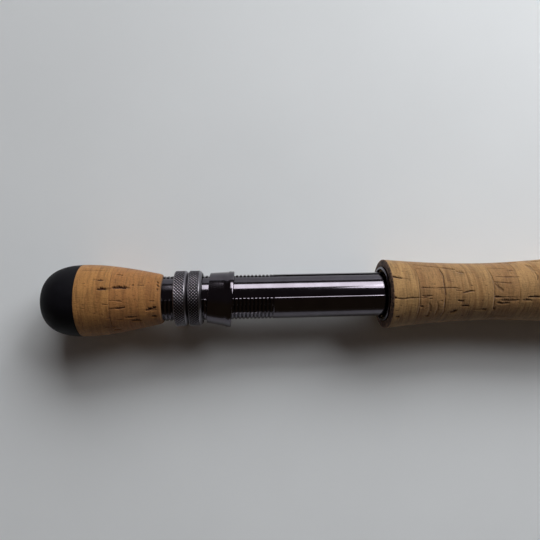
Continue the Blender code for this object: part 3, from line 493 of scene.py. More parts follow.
def cork_ring(node, curve, start, end, grid, marks, tone, finish):
    """A ring of cork between two seams, with its marks.

    grid is the step between its rows, and the number of its columns.
    """
    step, columns = grid
    rows = max(4, round((end - start) / step))
    along = np.linspace(start, end, rows + 1)[:, None]
    angle = round_angles(columns)
    angle = np.where(angle > math.pi, angle - math.tau, angle)
    radius = flowing(curve, along)
    depth = np.zeros((rows + 1, columns))
    dark = np.zeros_like(depth)
    for mark in marks:
        places = [place for place, _ in mark[3:]]
        if max(places) > start - 2 and min(places) < end + 2:
            dent(along, angle, radius, depth, dark, mark)
    seam = np.zeros_like(along)
    seam[[0, -1]] = SEAM_DEPTH
    glue = 0.24 + 0.22 * np.sin(angle * 5 + start * 0.9) * np.sin(angle * 13 + start * 0.3)
    dark[[0, -1]] = np.maximum(dark[[0, -1]], glue)
    points = bored_grid(along, radius - depth - seam, radius.min() - BORE_WALL, angle)
    piece = closed_piece(f"{node}_turned", points, sharp=60)
    keep_values(piece, {"pit": np.concatenate([dark, np.zeros((2, columns))]),
                        "ring_tone": np.full(points.shape[:2], tone),
                        "ring_shift": np.full(points.shape[:2], start * MM * 7)})
    stand_for(piece, node, finish)


# %% The fighting butt
SHOWN_SIDE = 75
BUTT_GRID = (0.2, 480)
BUTT_TONES = (0.05, 0.5, 0.3)  # how red each ring is
cap_end = span_of("butt_cap")[1]
chance = np.random.default_rng(7)
seams = [cap_end] + [span_of(name)[1] for name in BUTT_RINGS]
for node, start, end, tone in zip(BUTT_RINGS, seams, seams[1:], BUTT_TONES):
    marks = BUTT_MARKS + pores(chance, start, end, count=22, largest=6, shown=SHOWN_SIDE)
    cork_ring(node, butt_outline, start, end, BUTT_GRID, marks, tone, BUTT_CORK)
print("butt cork from", round(cap_end, 1), "to", round(seams[-1], 1))

# %% The grip
FINE_END = 225  # the photograph shows the grip almost as far as here
FINE_GRID, COARSE_GRID = (0.22, 448), (0.4, 256)
GRIP_TONES = (0.1, 0.55, 0.35, 0.2, 0.6, 0.25)
seams = [span_of(name)[1] for name in ("grip_rear_face", *GRIP_RINGS)]
for number, (node, start, end) in enumerate(zip(GRIP_RINGS, seams, seams[1:])):
    grid, shown = (FINE_GRID, SHOWN_SIDE) if start < FINE_END else (COARSE_GRID, 0)
    marks = GRIP_MARKS + pores(chance, start, end, count=26, largest=8, shown=shown)
    tone = GRIP_TONES[number] if number < len(GRIP_TONES) else chance.uniform(0, 0.6)
    cork_ring(node, grip_outline, start, end, grid, marks, tone, GRIP_CORK)
print(len(GRIP_RINGS), "grip rings to", round(seams[-1], 1))

# %% [markdown]
# The butt cap is moulded rubber: nearly black, matt, with a faint sheen and a fine grain.

# %% Rubber butt cap
CAP_EDGE = 0.15  # the rounding of the cap's front edge
CAP_SEAM = 0.05  # the gap to the cork
STEM_HOLE = 4.3  # the hole's radius
STEM_GAP = 0.3  # how far the hole goes on behind the stem
RUBBER = clouded_finish("butt_rubber_grain", 5, ((0.0038, 0.0036, 0.0052), (0.0058, 0.0055, 0.0078)),
                        0.25, 0.02, haze=(0.5, 0.64), Specular_IOR_Level=0.11)


def make_butt_cap():
    along = cap_end * (1 - np.cos(np.linspace(0, math.pi / 2, 40)))
    dome = [(x, flowing(butt_outline, x)) for x in along[:-1]]
    front = flowing(butt_outline, cap_end)
    face = cap_end - CAP_SEAM
    edge = [(cap_end - CAP_EDGE, front), (face, front - CAP_EDGE)]
    hole_end = span_of("butt_stem")[0] - STEM_GAP
    hole = [(face, STEM_HOLE), (hole_end, STEM_HOLE), (hole_end, 0)]
    loop = np.array([(0, 0)] + dome + edge + hole)
    points = turned_points(loop[:, :1], loop[:, 1:], round_angles(160))
    stand_for(closed_piece("butt_cap_moulded", points, poles=True), "butt_cap", RUBBER)


make_butt_cap()
print("cap", round(cap_end, 1), "long")

# %% [markdown]
# The reel seat is turned aluminium, anodised dark. Anodising keeps the tool's polish,
# so it mirrors the window as a hard bright band with near black beside it.
# That takes a metal shader with low roughness. Fine lathe lines break the mirror a little.

# %% Anodised metal
# The bottoms of the knurls' grooves are coloured near black: painted shade.
GROOVE_PAINTED_SHADE = (0.006, 0.005, 0.006)
EDGE_COLOUR = (0.20, 0.19, 0.21)
EDGE_ROUGHNESS = 0.28


def gunmetal_finish(name, smooth, rough, dark, light):
    """smooth to rough is the range of the roughness, and dark to light that of the colour.

    "groove" is 1 at the bottom of a knurl, where the colour is painted near black as painted shade.
    "plain" is 1 on the smooth edges of a knurled ring, which catch the window as a soft glint.
    """
    material, tree, shader, place = new_finish(name, Metallic=1.0)
    cloud = noise(tree, place, 6, 4.0)
    lines = noise(tree, stretched(tree, place, (1, 0.02, 0.02)), 0.22, 2.0)
    scratches = noise(tree, stretched(tree, place, (0.05, 1, 1)), 0.3, 2.0, 0.5)
    plain = kept_value(tree, "plain")
    # Painted shade: where a knurl's groove is deep, the colour goes to near black.
    deep = ramp(tree, kept_value(tree, "groove"), [(0.08, 0.0), (0.36, 0.96)])
    colour = ramp(tree, cloud, [(0.3, dark), (0.7, light)])
    colour = mixed(tree, deep, colour, GROOVE_PAINTED_SHADE)
    colour = mixed(tree, plain, colour, EDGE_COLOUR)
    tree.links.new(colour, shader.inputs["Base Color"])
    haze = mixed(tree, 0.4, ramp(tree, cloud, [(0.3, smooth), (0.7, rough)]),
                 ramp(tree, scratches, [(0.28, rough + 0.09), (0.36, smooth + 0.01)]))
    haze = mixed(tree, plain, haze, (EDGE_ROUGHNESS,) * 3)
    tree.links.new(haze, shader.inputs["Roughness"])
    bump(tree, shader, lines, 0.004, bump(tree, shader, scratches, 0.002))
    return material


GUNMETAL = gunmetal_finish("anodised_gunmetal_turned", 0.08, 0.13,
                           (0.094, 0.084, 0.098), (0.122, 0.112, 0.130))

# %% [markdown]
# The barrel carries a screw thread of 16 turns an inch at its rear, and one smooth channel
# along it for the reel's foot. The thread is a true helix: its height depends on how far along
# a point is, less the turns that its angle stands for. The channel cuts through it.

# %% Threaded barrel
THREAD_PITCH = 25.4 / 16
THREAD_DEPTH = 0.5
THREAD_LENGTH = 46.1
THREAD_STEPS = 12  # rows to a turn of the thread
CHANNEL_SIDES = (0.0, math.radians(74))
CHANNEL_DEPTH = 0.4
CHANNEL_STOP = 1.6  # how far behind the barrel's front the channel ends
EDGE_BREAK = (math.radians(1.1), 0.10)  # the channel's edges are broken by this much, round and deep
BARREL_WALL = 1.6
BARREL_CHAMFER = 0.2


def barrel_angles():
    """Columns round the barrel, with close pairs at the two walls of the channel."""
    low, high = CHANNEL_SIDES
    wall = math.radians(0.1)
    inside = np.linspace(low + wall, high - wall, 30)
    edges = [high, high + EDGE_BREAK[0]]
    far_edges = [low - EDGE_BREAK[0] + math.tau, low + math.tau]
    outside = np.linspace(edges[1], far_edges[0], 150)[1:-1]
    return np.concatenate([inside, edges, outside, far_edges])[None, :]


def make_barrel():
    start, end = span_of("reel_seat_barrel")
    radius = outline("reel_seat_barrel")[1].max()
    thread_end = start + THREAD_LENGTH
    step = THREAD_PITCH / THREAD_STEPS
    threaded = np.arange(start, thread_end, step)
    smooth = np.linspace(thread_end + step, end - CHANNEL_STOP, 24)
    ends = [smooth[-1] + 0.05, end - BARREL_CHAMFER, end]
    along = np.concatenate([threaded, smooth, ends])[:, None]
    angle = barrel_angles()
    turn = (along - start) / THREAD_PITCH - angle / math.tau
    ridge = np.clip((abs(turn % 1 - 0.5) - 0.05) / 0.2, 0, 1)
    fade = np.clip((thread_end - along) / THREAD_PITCH, 0, 1)
    outside = radius - THREAD_DEPTH * (1 - ridge) * fade
    middle = sum(CHANNEL_SIDES) / 2
    half_width = (CHANNEL_SIDES[1] - CHANNEL_SIDES[0]) / 2
    from_wall = abs((angle - middle + math.pi) % math.tau - math.pi) - half_width
    cut = (from_wall < -1e-5) & (along <= smooth[-1])
    at_wall = abs(from_wall) < 1e-5
    outside = np.where(cut, radius - CHANNEL_DEPTH, outside)
    outside = np.where(at_wall, np.minimum(outside, radius - EDGE_BREAK[1]), outside)
    outside[-1] -= BARREL_CHAMFER
    points = bored_grid(along, outside, radius - BARREL_WALL, angle)
    piece = closed_piece("reel_seat_barrel_threaded", points, sharp=25)
    return stand_for(piece, "reel_seat_barrel", GUNMETAL)


barrel = make_barrel()
print("barrel", len(barrel.data.polygons), "faces")

# %% [markdown]
# The locking rings are knurled: two sets of slanted grooves cross and leave small diamonds,
# which give a wet hand its hold. Each point's height is its distance from the nearest groove.

# %% Knurled locking rings
KNURLS_ROUND = 56
KNURL_LENGTH = 1.28
KNURL_DEPTH = 0.24
KNURL_STEPS = 10  # rows and columns to a knurl
FRONT_CHAMFER = 1.2
REAR_CHAMFER = 0.4
LOCK_RING_WALL = 1.15


def groove_height(turns):
    """0 in the middle of a groove, and 1 between grooves. There is one groove to a turn."""
    return np.clip(2.5 * abs((turns + 0.5) % 1 - 0.5), 0, 1)


def make_lock_ring(node, phase, crossing):
    """crossing is how deep the second set of grooves is, against the first."""
    start, end = span_of(node)
    radius = outline(node)[1].max()
    bore = radius - LOCK_RING_WALL
    rear, front = REAR_CHAMFER, FRONT_CHAMFER
    knurled = np.arange(start + rear, end - front, KNURL_LENGTH / KNURL_STEPS)
    angle = round_angles(KNURLS_ROUND * KNURL_STEPS)
    turns = KNURLS_ROUND * angle / math.tau
    slant = (knurled[:, None] - start) / KNURL_LENGTH
    first = groove_height(turns + slant + phase)
    second = groove_height(turns - slant)
    groove = 1 - np.minimum(first, 1 - crossing * (1 - second))
    rear_edge = [(start + rear * s, radius - rear * (1 - s) ** 1.5) for s in (0.0, 0.3, 0.7)]
    front_edge = [(end - front * (1 - s), radius - front * s**1.6) for s in (0.0, 0.3, 0.7, 1.0)]
    front_edge += [(end, bore), (start, bore)]
    along = [x for x, _ in rear_edge] + list(knurled) + [x for x, _ in front_edge]
    level = np.zeros_like(angle)
    rows = [level + r for _, r in rear_edge] + [radius - KNURL_DEPTH * groove]
    rows += [level + r for _, r in front_edge]
    points = turned_points(np.array(along)[:, None], np.concatenate(rows), angle)
    piece = closed_piece(f"{node}_knurled", points, sharp=40)
    knurls = slice(len(rear_edge), len(rear_edge) + len(knurled))
    # The groove depth also darkens the colour there, as painted shade.
    grids = {"groove": np.zeros(points.shape[:2]), "plain": np.ones(points.shape[:2])}
    grids["groove"][knurls] = groove
    grids["plain"][knurls] = 0
    keep_values(piece, grids)
    return stand_for(piece, node, KNURLED_PAINTED_GLINT)


# The knurled rings are the same anodised metal, but their colour is three to four times brighter: a
# painted highlight that makes the diamonds glint.
KNURLED_PAINTED_GLINT = gunmetal_finish("anodised_gunmetal_knurled", 0.29, 0.34,
                          (0.36, 0.33, 0.38), (0.48, 0.45, 0.50))
for ring_name, phase, crossing in (("lock_ring_rear", 0.0, 0.5), ("lock_ring_front", 0.5, 1.0)):
    ring = make_lock_ring(ring_name, phase, crossing)
    print(ring.name, len(ring.data.polygons), "faces")

# %% [markdown]
# The sliding hood is a loose flared cone that the rings push over the reel's foot.
# It lies a little askew, so it is turned straight first and then tipped about its rear end.

# %% Sliding hood
HOOD_TILT = math.radians(5)
HOOD_START = 67.6
HOOD_LENGTH = 10.0
HOOD_RADII = (10.5, 11.45, 11.8)  # rear, start of the lip, front
HOOD_BORES = (9.75, 10.85)
HOOD_LIP = 2.2


def make_sliding_hood():
    lip = HOOD_LENGTH - HOOD_LIP
    rear, cone, front = HOOD_RADII
    outside = [(0, rear - 0.1), (0.1, rear)]
    outside += [(lip * share, rear + (cone - rear) * share) for share in (0.25, 0.5, 0.75, 0.96)]
    outside += [(lip + 0.25, cone + 0.28)]
    outside += [(HOOD_LENGTH - back, front - lower)
                for back, lower in ((0.9, 0.05), (0.4, 0), (0.12, 0.1), (0, 0.3))]
    bore = [(0, HOOD_BORES[0]), (HOOD_LENGTH, HOOD_BORES[1])]
    tip = np.array(Matrix.Rotation(-HOOD_TILT, 3, "Z"))
    grid = ring_grid(outside, bore, 128) @ tip.T + (HOOD_START, 0, 0)
    stand_for(closed_piece("sliding_hood_turned", grid, sharp=30), "sliding_hood", GUNMETAL)


make_sliding_hood()

# %% [markdown]
# The fixed hood is a cup with a thin rolled rim, let into the cork. Its floor closes on the barrel.

# %% Fixed hood
CUP_WALL = 0.9
CUP_FLOOR = 2.5
CUP_SEAT = 9.65  # the radius of the hole in the floor


def make_fixed_hood():
    start, end = span_of("fixed_hood")
    radius = outline("fixed_hood")[1].max()
    inner = radius - CUP_WALL
    floor = end - CUP_FLOOR
    outside = [(start + 0.02, radius - 0.45), (start + 0.12, radius - 0.15), (start + 0.35, radius),
               (end, radius)]
    bore = [(start + 0.02, radius - 0.55), (start + 0.15, inner), (floor, inner),
            (floor, CUP_SEAT), (end, CUP_SEAT)]
    ring_for("fixed_hood", "turned", outside, bore, 128, GUNMETAL, sharp=30)


make_fixed_hood()

# %% [markdown]
# The grip's end faces are composite: ground cork and rubber, pressed and glued.
# Voronoi cells make the crumbs, each in its own brown.

# %% Composite cork end faces
def composite_finish():
    material, tree, shader, place = new_finish("composite_cork_pressed", Roughness=0.75)
    cells = {"Vector": place, "Scale": 1 / (0.9 * MM), "Randomness": 1.0}
    crumbs = add(tree, "TexVoronoi", cells)
    shade = add(tree, "SeparateColor", {"Color": crumbs.outputs["Color"]}).outputs["Red"]
    colour = ramp(tree, shade, [(0.0, (0.035, 0.018, 0.012)), (0.4, (0.11, 0.055, 0.035)),
                                (0.8, (0.20, 0.11, 0.07)), (1.0, (0.30, 0.18, 0.11))])
    fine = noise(tree, place, 0.4, 3.0)
    colour = mixed(tree, 0.5, colour, ramp(tree, fine, [(0.3, 0.5), (0.7, 1.0)]), "MULTIPLY")
    tree.links.new(colour, shader.inputs["Base Color"])
    bump(tree, shader, fine, 0.06)
    return material


COMPOSITE = composite_finish()
REAR_BORE = 12.0
FRONT_BORE = 6.5


def make_rear_face():
    start, end = span_of("grip_rear_face")
    radii = outline("grip_rear_face")[1]
    widest = radii.max()
    outside = [(start + 0.02, widest - 0.9), (start + 0.1, widest - 0.5), (start + 0.3, widest - 0.2),
               (start + 0.5, widest - 0.05), (end, radii[-1])]
    bore = [(start, REAR_BORE), (end, REAR_BORE)]
    ring_for("grip_rear_face", "turned", outside, bore, 192, COMPOSITE)


def make_front_ring():
    start, end = span_of("grip_front_ring")
    widest = outline("grip_front_ring")[1].max()
    outside = [(start, widest - 0.05), (end - 1.2, widest), (end - 0.6, widest - 0.2),
               (end - 0.15, widest - 0.7), (end, widest - 1.2)]
    bore = [(start, FRONT_BORE), (end, FRONT_BORE)]
    ring_for("grip_front_ring", "turned", outside, bore, 128, COMPOSITE)


make_rear_face()
make_front_ring()

# %% [markdown]
# The blank is a carbon tube under clear varnish: black with a depth of grey fibre below the gloss.

# %% Blank sections
def carbon_finish():
    material, tree, shader, place = new_finish("carbon_blank_varnished", Roughness=0.32,
                                               Coat_Weight=1.0, Coat_Roughness=0.06)
    fibres = noise(tree, stretched(tree, place, (0.02, 1, 1)), 0.18, 3.0)
    clouds = noise(tree, stretched(tree, place, (0.15, 1, 1)), 4, 2.0)
    colour = ramp(tree, fibres, [(0.3, (0.008, 0.009, 0.011)), (0.7, (0.030, 0.032, 0.038))])
    colour = mixed(tree, 0.4, colour, ramp(tree, clouds, [(0.3, 0.6), (0.7, 1.0)]), "MULTIPLY")
    tree.links.new(colour, shader.inputs["Base Color"])
    bump(tree, shader, fibres, 0.006)
    return material


CARBON = carbon_finish()
BLANKS = family("blank_section")
blank_outlines = {name: outline(name) for name in BLANKS}
BUTT_WALL, TIP_WALL = 1.1, 0.45  # of the first section, and of the others' front ends
SOCKET_WALL, SOCKET_LENGTH, SOCKET_STEP = 0.9, 69, 2


def make_blank(node):
    places, radii = blank_outlines[node]
    start, end = places[0], places[-1]
    rear, front = radii[0], radii[-1]
    along = np.linspace(start, end, 40)[1:]
    radius = np.interp(along, [start, end], [rear, front])
    outside = [(start, rear - 0.1), (start + 0.1, rear)] + list(zip(along, radius))
    if node == BLANKS[0]:
        bore = [(start, rear - BUTT_WALL), (end, front - BUTT_WALL)]
    else:
        socket_end = start + SOCKET_LENGTH
        bore_start = socket_end + SOCKET_STEP
        above = np.interp(bore_start, [start, end], [rear, front])
        bore = [(start, rear - SOCKET_WALL), (socket_end, rear - SOCKET_WALL),
                (bore_start, above - SOCKET_WALL), (end, front - TIP_WALL)]
    ring_for(node, "varnished", outside, bore, 64, CARBON, sharp=40)


for blank_name in BLANKS:
    make_blank(blank_name)
print(len(BLANKS), "blank sections")

# %% [markdown]
# Thread wraps are silk-thin turns of nylon, side by side, sealed under clear epoxy.
# The epoxy is a glossy coat over a bump of fine turns.

# %% Thread wraps
THREAD_WIDTH = 0.2
WRAP_DEPTH = 0.45  # from the top of a ferrule's wrap to its bore
WRAP_RUN_OUT = 0.35  # how much lower its ends are


def thread_finish():
    material, tree, shader, place = new_finish("wrapping_thread_sealed", Roughness=0.4,
                                               Coat_Weight=1.0, Coat_Roughness=0.04)
    along = add(tree, "SeparateXYZ", {"Vector": place}).outputs["X"]
    turns = maths(tree, "SINE", maths(tree, "MULTIPLY", along, math.tau / (THREAD_WIDTH * MM)))
    shade = noise(tree, stretched(tree, place, (1, 0.1, 0.1)), 0.6, 2.0)
    colour = ramp(tree, shade, [(0.3, (0.012, 0.018, 0.05)), (0.7, (0.025, 0.04, 0.10))])
    tree.links.new(colour, shader.inputs["Base Color"])
    bump(tree, shader, turns, 0.01)
    return material


THREAD = thread_finish()


def make_ferrule_wrap(node):
    start, end = span_of(node)
    top = outline(node)[1].max()
    outside = [(start + (end - start) * share, top - WRAP_RUN_OUT * abs(2 * share - 1) ** 8)
               for share in np.linspace(0, 1, 24)]
    bore = [(start, top - WRAP_DEPTH), (end, top - WRAP_DEPTH)]
    ring_for(node, "sealed", outside, bore, 64, THREAD, sharp=40)


for wrap_name in family("ferrule_wrap"):
    make_ferrule_wrap(wrap_name)

# %% [markdown]
# The other metal is stainless wire and a few small turnings, polished bright.

# %% Bright and plain finishes
STEEL = clouded_finish("stainless_steel_polished", 1.5, (0.42, 0.55), 0.2, 0.004,
                       haze=(0.14, 0.24), Metallic=1.0)
NYLON = clouded_finish("nylon_moulded", 3, (0.018, 0.028), 0.3, 0.01, Roughness=0.45)
CERAMIC = clouded_finish("guide_ceramic_glazed", 2, ((0.02, 0.022, 0.026), (0.035, 0.038, 0.045)),
                         0.4, 0.003, Roughness=0.12)
FINISH_OF_SLOT = {
    "stainless_steel": STEEL,
    "nylon": NYLON,
    "guide_ceramic": CERAMIC,
    "butt_rubber": RUBBER,
    "cork": GRIP_CORK,
    "composite_cork": COMPOSITE,
    "anodised_gunmetal": GUNMETAL,
    "carbon_blank": CARBON,
    "wrapping_thread": THREAD,
}
print("finishes:", ", ".join(sorted(FINISH_OF_SLOT)))

# %% [markdown]
# The guides and the hook keeper are bent wire. A wire is a circle carried along a path. A curve
# through a few points gives the bends, as a jig with a few pins bends the real wire.
# They all stand on the reel side, so their paths are written with Z towards it.

# %% Bent wire
WIRE_SIDES = 14


def smooth_path(points, steps):
    """Places on a curve that passes through all the points."""
    points = np.array(points, dtype=float)
    pins = np.concatenate([2 * points[:1] - points[1:2], points, 2 * points[-1:] - points[-2:-1]])
    t = (np.arange(steps) / steps)[:, None]
    path = []
    for a, b, c, d in zip(pins, pins[1:], pins[2:], pins[3:]):
        bend = (2 * a - 5 * b + 4 * c - d) * t**2 + (3 * b - a - 3 * c + d) * t**3
        path.append(b + 0.5 * ((c - a) * t + bend))
    return np.concatenate(path + [points[-1:]])


def on_reel_side(points, middle):
    """Points written with Z towards the reel side, turned there and moved along to the middle."""
    x, y, z = np.moveaxis(np.array(points), -1, 0)
    sine, cosine = math.sin(REEL_SIDE), math.cos(REEL_SIDE)
    return np.stack([x + middle, y * cosine + z * sine, z * cosine - y * sine], axis=-1)


def bent_wire(name, middle, path, radius, closed=False):
    """A wire along a path. Its radius is one number, or one for each place on the path."""
    ahead = np.roll(path, -1, axis=0) - np.roll(path, 1, axis=0)
    if not closed:
        ahead[0] = path[1] - path[0]
        ahead[-1] = path[-1] - path[-2]
    ahead /= np.linalg.norm(ahead, axis=1, keepdims=True)
    angle = round_angles(WIRE_SIDES).T
    side = np.cross(ahead[0], (0.0, 0.6, 0.8))
    rows = []
    for place, direction, size in zip(path, ahead, np.broadcast_to(radius, len(path))):
        side = side - direction * side.dot(direction)
        side /= np.linalg.norm(side)
        other = np.cross(side, direction)
        rows.append(place + size * (np.cos(angle) * side + np.sin(angle) * other))
    if not closed:
        rows = [np.broadcast_to(path[0], rows[0].shape)] + rows
        rows.append(np.broadcast_to(path[-1], rows[0].shape))
    return closed_piece(name, on_reel_side(rows, middle), poles=not closed)


def joined(name, pieces):
    """One object of several closed bodies."""
    shape = bmesh.new()
    for piece in pieces:
        shape.from_mesh(piece.data)
        bpy.data.objects.remove(piece)
    mesh = bpy.data.meshes.new(name)
    shape.to_mesh(mesh)
    shape.free()
    return linked(name, mesh)


def stand_of(node):
    """The middle of a guide along the rod, and how far below it the rod's axis is."""
    x, y, z = points_of(node).T
    out = y * math.sin(REEL_SIDE) + z * math.cos(REEL_SIDE)
    return (x.min() + x.max()) / 2, out.min()


# %% [markdown]
# Each foot is bound to the blank with thread, and sealed with epoxy that runs out thin at both
# ends. The wrap is round, with a swelling where it passes over the foot.

# %% Foot wraps
WRAP_THICKNESS = 0.33
FOOT_TIP = 0.2  # the radius of a wire foot's ground tip


def blank_radius(x):
    """The blank's radius at a place. Where two sections overlap, it is the outer one's."""
    found = [np.interp(x, [places[0], places[-1]], [radii[0], radii[-1]])
             for places, radii in blank_outlines.values() if places[0] <= x <= places[-1]]
    return max(found)


def foot_wrap(name, start, end, foot_rise, foot_half_width=0.6):
    """foot_rise is the height of the foot under the wrap at its start and at its end."""
    along = np.linspace(start, end, 33)[:, None]
    below = np.array([[blank_radius(x)] for x in along[:, 0]])
    share = (along - start) / (end - start)
    body = 1 - abs(2 * share - 1) ** 5
    angle = round_angles(72)
    arc = ((angle - REEL_SIDE + math.pi) % math.tau - math.pi) * below
    nearness = np.exp(-(abs(arc) / (foot_half_width + 0.45)) ** 2.4)
    swelling = np.interp(share, (0, 1), foot_rise) * nearness
    outside = below + 0.02 + (WRAP_THICKNESS + swelling) * body
    points = bored_grid(along, outside, below[[-1, 0]] - 0.05, angle)
    return closed_piece(name, points, sharp=50)


def wrap_feet(node, middle, near, far, wire):
    """Binds the rear and the front foot of a wire, from near to far off its middle."""
    for end_name, side in (("rear", -1), ("front", 1)):
        start, end = sorted((middle + side * near, middle + side * far))
        rise = (2 * FOOT_TIP, 2 * wire)[::-side]
        wrap = foot_wrap(f"{node}_{end_name}_wrap", start, end, rise)
        put_on(wrap, body_of[node], THREAD)


# %% [markdown]
# A snake guide is one wire: a foot, most of one turn that crosses over the line's way, and
# the other foot. The feet are ground thin towards their tips, so that the thread climbs them.

# %% Snake guides
SNAKE_WIRE = 0.5
SNAKE_CLEAR = 3.6
SNAKE_HALF_ARCH = 6.0
SNAKE_FOOT = (8.4, 15.4)
SNAKE_TAPER = 3.5  # how much of the foot is ground thin


def make_snake_guide(node):
    middle, base = stand_of(node)
    arch = SNAKE_CLEAR + SNAKE_WIRE
    half_turn = math.acos((SNAKE_WIRE - SNAKE_CLEAR) / arch)
    bend = [(SNAKE_HALF_ARCH * share, arch * math.sin(share * half_turn),
             SNAKE_CLEAR + arch * math.cos(share * half_turn)) for share in np.linspace(-1, 1, 17)]
    near, far = SNAKE_FOOT
    foot = [(far, 0, FOOT_TIP), (far - SNAKE_TAPER, 0, SNAKE_WIRE), (near, 0, SNAKE_WIRE),
            ((near + SNAKE_HALF_ARCH) / 2, bend[-1][1] * 0.35, SNAKE_WIRE)]
    rear = [(-x, -y, z) for x, y, z in foot]
    path = smooth_path(rear + bend + foot[::-1], 5)
    radius = np.interp(abs(path[:, 0]), (far - SNAKE_TAPER, far), (SNAKE_WIRE, FOOT_TIP))
    path[:, 2] += base
    stand_for(bent_wire(f"{node}_bent", middle, path, radius), node, STEEL)
    wrap_feet(node, middle, near + 0.4, far + 1.4, SNAKE_WIRE)


for guide_name in family("snake_guide"):
    make_snake_guide(guide_name)
print(len(family("snake_guide")), "snake guides")

# %% [markdown]
# The two stripping guides carry a ceramic ring in a metal rim, on one leg in front and two
# behind. The rings are turned shapes whose axis lies beside the rod's, so they are made
# round the axis first and then moved out.

# %% Stripping guides
RING_CLEAR = {"stripping_guide_1": 6.0, "stripping_guide_2": 4.9}
INSERT_WALL, INSERT_WIDTH = 1.0, 2.4
RIM_WALL, RIM_WIDTH = 0.7, 1.6
STAND_OFF = 3.2
LEG_WIRE = 0.6
LEG_REACH = 9.0
LEG_SPREAD = math.radians(48)
FOOT_LENGTH, FOOT_WIDTH, FOOT_HEIGHT = 11.0, 2.2, 0.9


def rounded_ring(name, middle, height, radius, wall, width, fullness):
    """A ring with a rounded section, round a line at a height. A high fullness is a flatter band."""
    turn = np.linspace(math.pi, 0, 15)[1:-1]
    x = width / 2 * np.sign(np.cos(turn)) * abs(np.cos(turn)) ** fullness
    bulge = wall / 2 * np.sin(turn) ** fullness
    centre = radius + wall / 2
    grid = ring_grid(list(zip(x, centre + bulge)), list(zip(x, centre - bulge)), 72)
    return closed_piece(name, on_reel_side(grid + (0, 0, height), middle), sharp=60)


def blade(name, middle, base, near, far):
    """A foot: a flat blade that grows narrow and thin towards its far end."""
    share = np.linspace(0, 1, 12)[:, None, None]
    angle = round_angles(20)[..., None]
    half_width = FOOT_WIDTH / 2 * (1 - 0.5 * share**2)
    height = FOOT_HEIGHT * (1 - 0.75 * share)
    y = half_width * np.sin(angle) * np.ones_like(share)
    z = base + height / 2 * (1 + np.cos(angle))
    x = near + (far - near) * share + np.zeros_like(y)
    grid = np.concatenate([x, y, z], axis=-1)
    middles = grid[[0, -1]].mean(axis=1, keepdims=True) * np.ones((1, grid.shape[1], 1))
    grid = np.concatenate([middles[:1], grid, middles[1:]])
    if far < near:
        grid = grid[:, ::-1]  # so that its faces still look outwards
    return closed_piece(name, on_reel_side(grid, middle), poles=True)


def make_stripping_guide(name, clear):
    middle, base = stand_of(f"{name}_frame")
    rim_bore = clear + INSERT_WALL
    rim_middle = rim_bore + RIM_WALL / 2
    height = base + STAND_OFF + rim_bore + RIM_WALL
    leg_end = base + LEG_WIRE
    half = FOOT_WIDTH / 2
    parts = [rounded_ring("rim", middle, height, rim_bore, RIM_WALL, RIM_WIDTH, 0.5)]
    front_leg = [(0, 0, height - rim_middle), (LEG_REACH * 0.45, 0, base + STAND_OFF * 0.45),
                 (LEG_REACH * 0.85, 0, leg_end + 0.15), (LEG_REACH + 1.4, 0, leg_end)]
    parts.append(bent_wire("leg", middle, smooth_path(front_leg, 8), LEG_WIRE))
    for side in (-1, 1):
        aside = side * rim_middle
        leg = [(0, aside * math.sin(LEG_SPREAD), height - rim_middle * math.cos(LEG_SPREAD)),
               (-LEG_REACH * 0.5, aside * 0.5, base + STAND_OFF * 0.8),
               (-LEG_REACH * 0.9, side * half * 0.4, leg_end + 0.1),
               (-LEG_REACH - 1.4, side * half * 0.3, leg_end)]
        parts.append(bent_wire("leg", middle, smooth_path(leg, 8), LEG_WIRE))
        near, far = side * (LEG_REACH - 0.8), side * (LEG_REACH + FOOT_LENGTH)
        parts.append(blade("foot", middle, base, near, far))
    stand_for(joined(f"{name}_frame_bent", parts), f"{name}_frame", STEEL)
    insert = rounded_ring(f"{name}_ring_glazed", middle, height, clear, INSERT_WALL, INSERT_WIDTH, 0.8)
    stand_for(insert, f"{name}_ring", CERAMIC)
    for end_name, rise in (("rear", (0.25, 0.85)), ("front", (0.85, 0.25))):
        node = f"{name}_{end_name}_wrap"
        start, end = span_of(node)
        stand_for(foot_wrap(f"{node}_sealed", start, end, rise, 0.9), node, THREAD)


for guide_name, clear in RING_CLEAR.items():
    make_stripping_guide(guide_name, clear)
print(len(RING_CLEAR), "stripping guides")

# %% [markdown]
# The hook keeper is a small wire loop in front of the grip. A winding check, a turned ring,
# hides the end of the grip's bore.

# %% Hook keeper and winding check
KEEPER_WIRE = 0.45
KEEPER_HALF = 6.0
KEEPER_FOOT = 4.0
KEEPER_HEIGHT = 3.4
CHECK_CLEAR = 0.05  # between the winding check and the blank


def make_hook_keeper():
    middle, base = stand_of("hook_keeper")
    far = KEEPER_HALF + KEEPER_FOOT
    front = [(KEEPER_HALF * 0.45, 0, KEEPER_WIRE + KEEPER_HEIGHT * 0.85),
             (KEEPER_HALF * 0.75, 0, KEEPER_WIRE + KEEPER_HEIGHT * 0.35),
             (KEEPER_HALF, 0, KEEPER_WIRE), (far, 0, FOOT_TIP)]
    rear = [(-x, y, z) for x, y, z in front[::-1]]
    path = smooth_path(rear + [(0, 0, KEEPER_WIRE + KEEPER_HEIGHT)] + front, 6)
    radius = np.interp(abs(path[:, 0]), (KEEPER_HALF + 1, far), (KEEPER_WIRE, FOOT_TIP))
    path[:, 2] += base
    stand_for(bent_wire("hook_keeper_bent", middle, path, radius), "hook_keeper", STEEL)
    wrap_feet("hook_keeper", middle, KEEPER_HALF + 0.2, far + 1.2, KEEPER_WIRE)


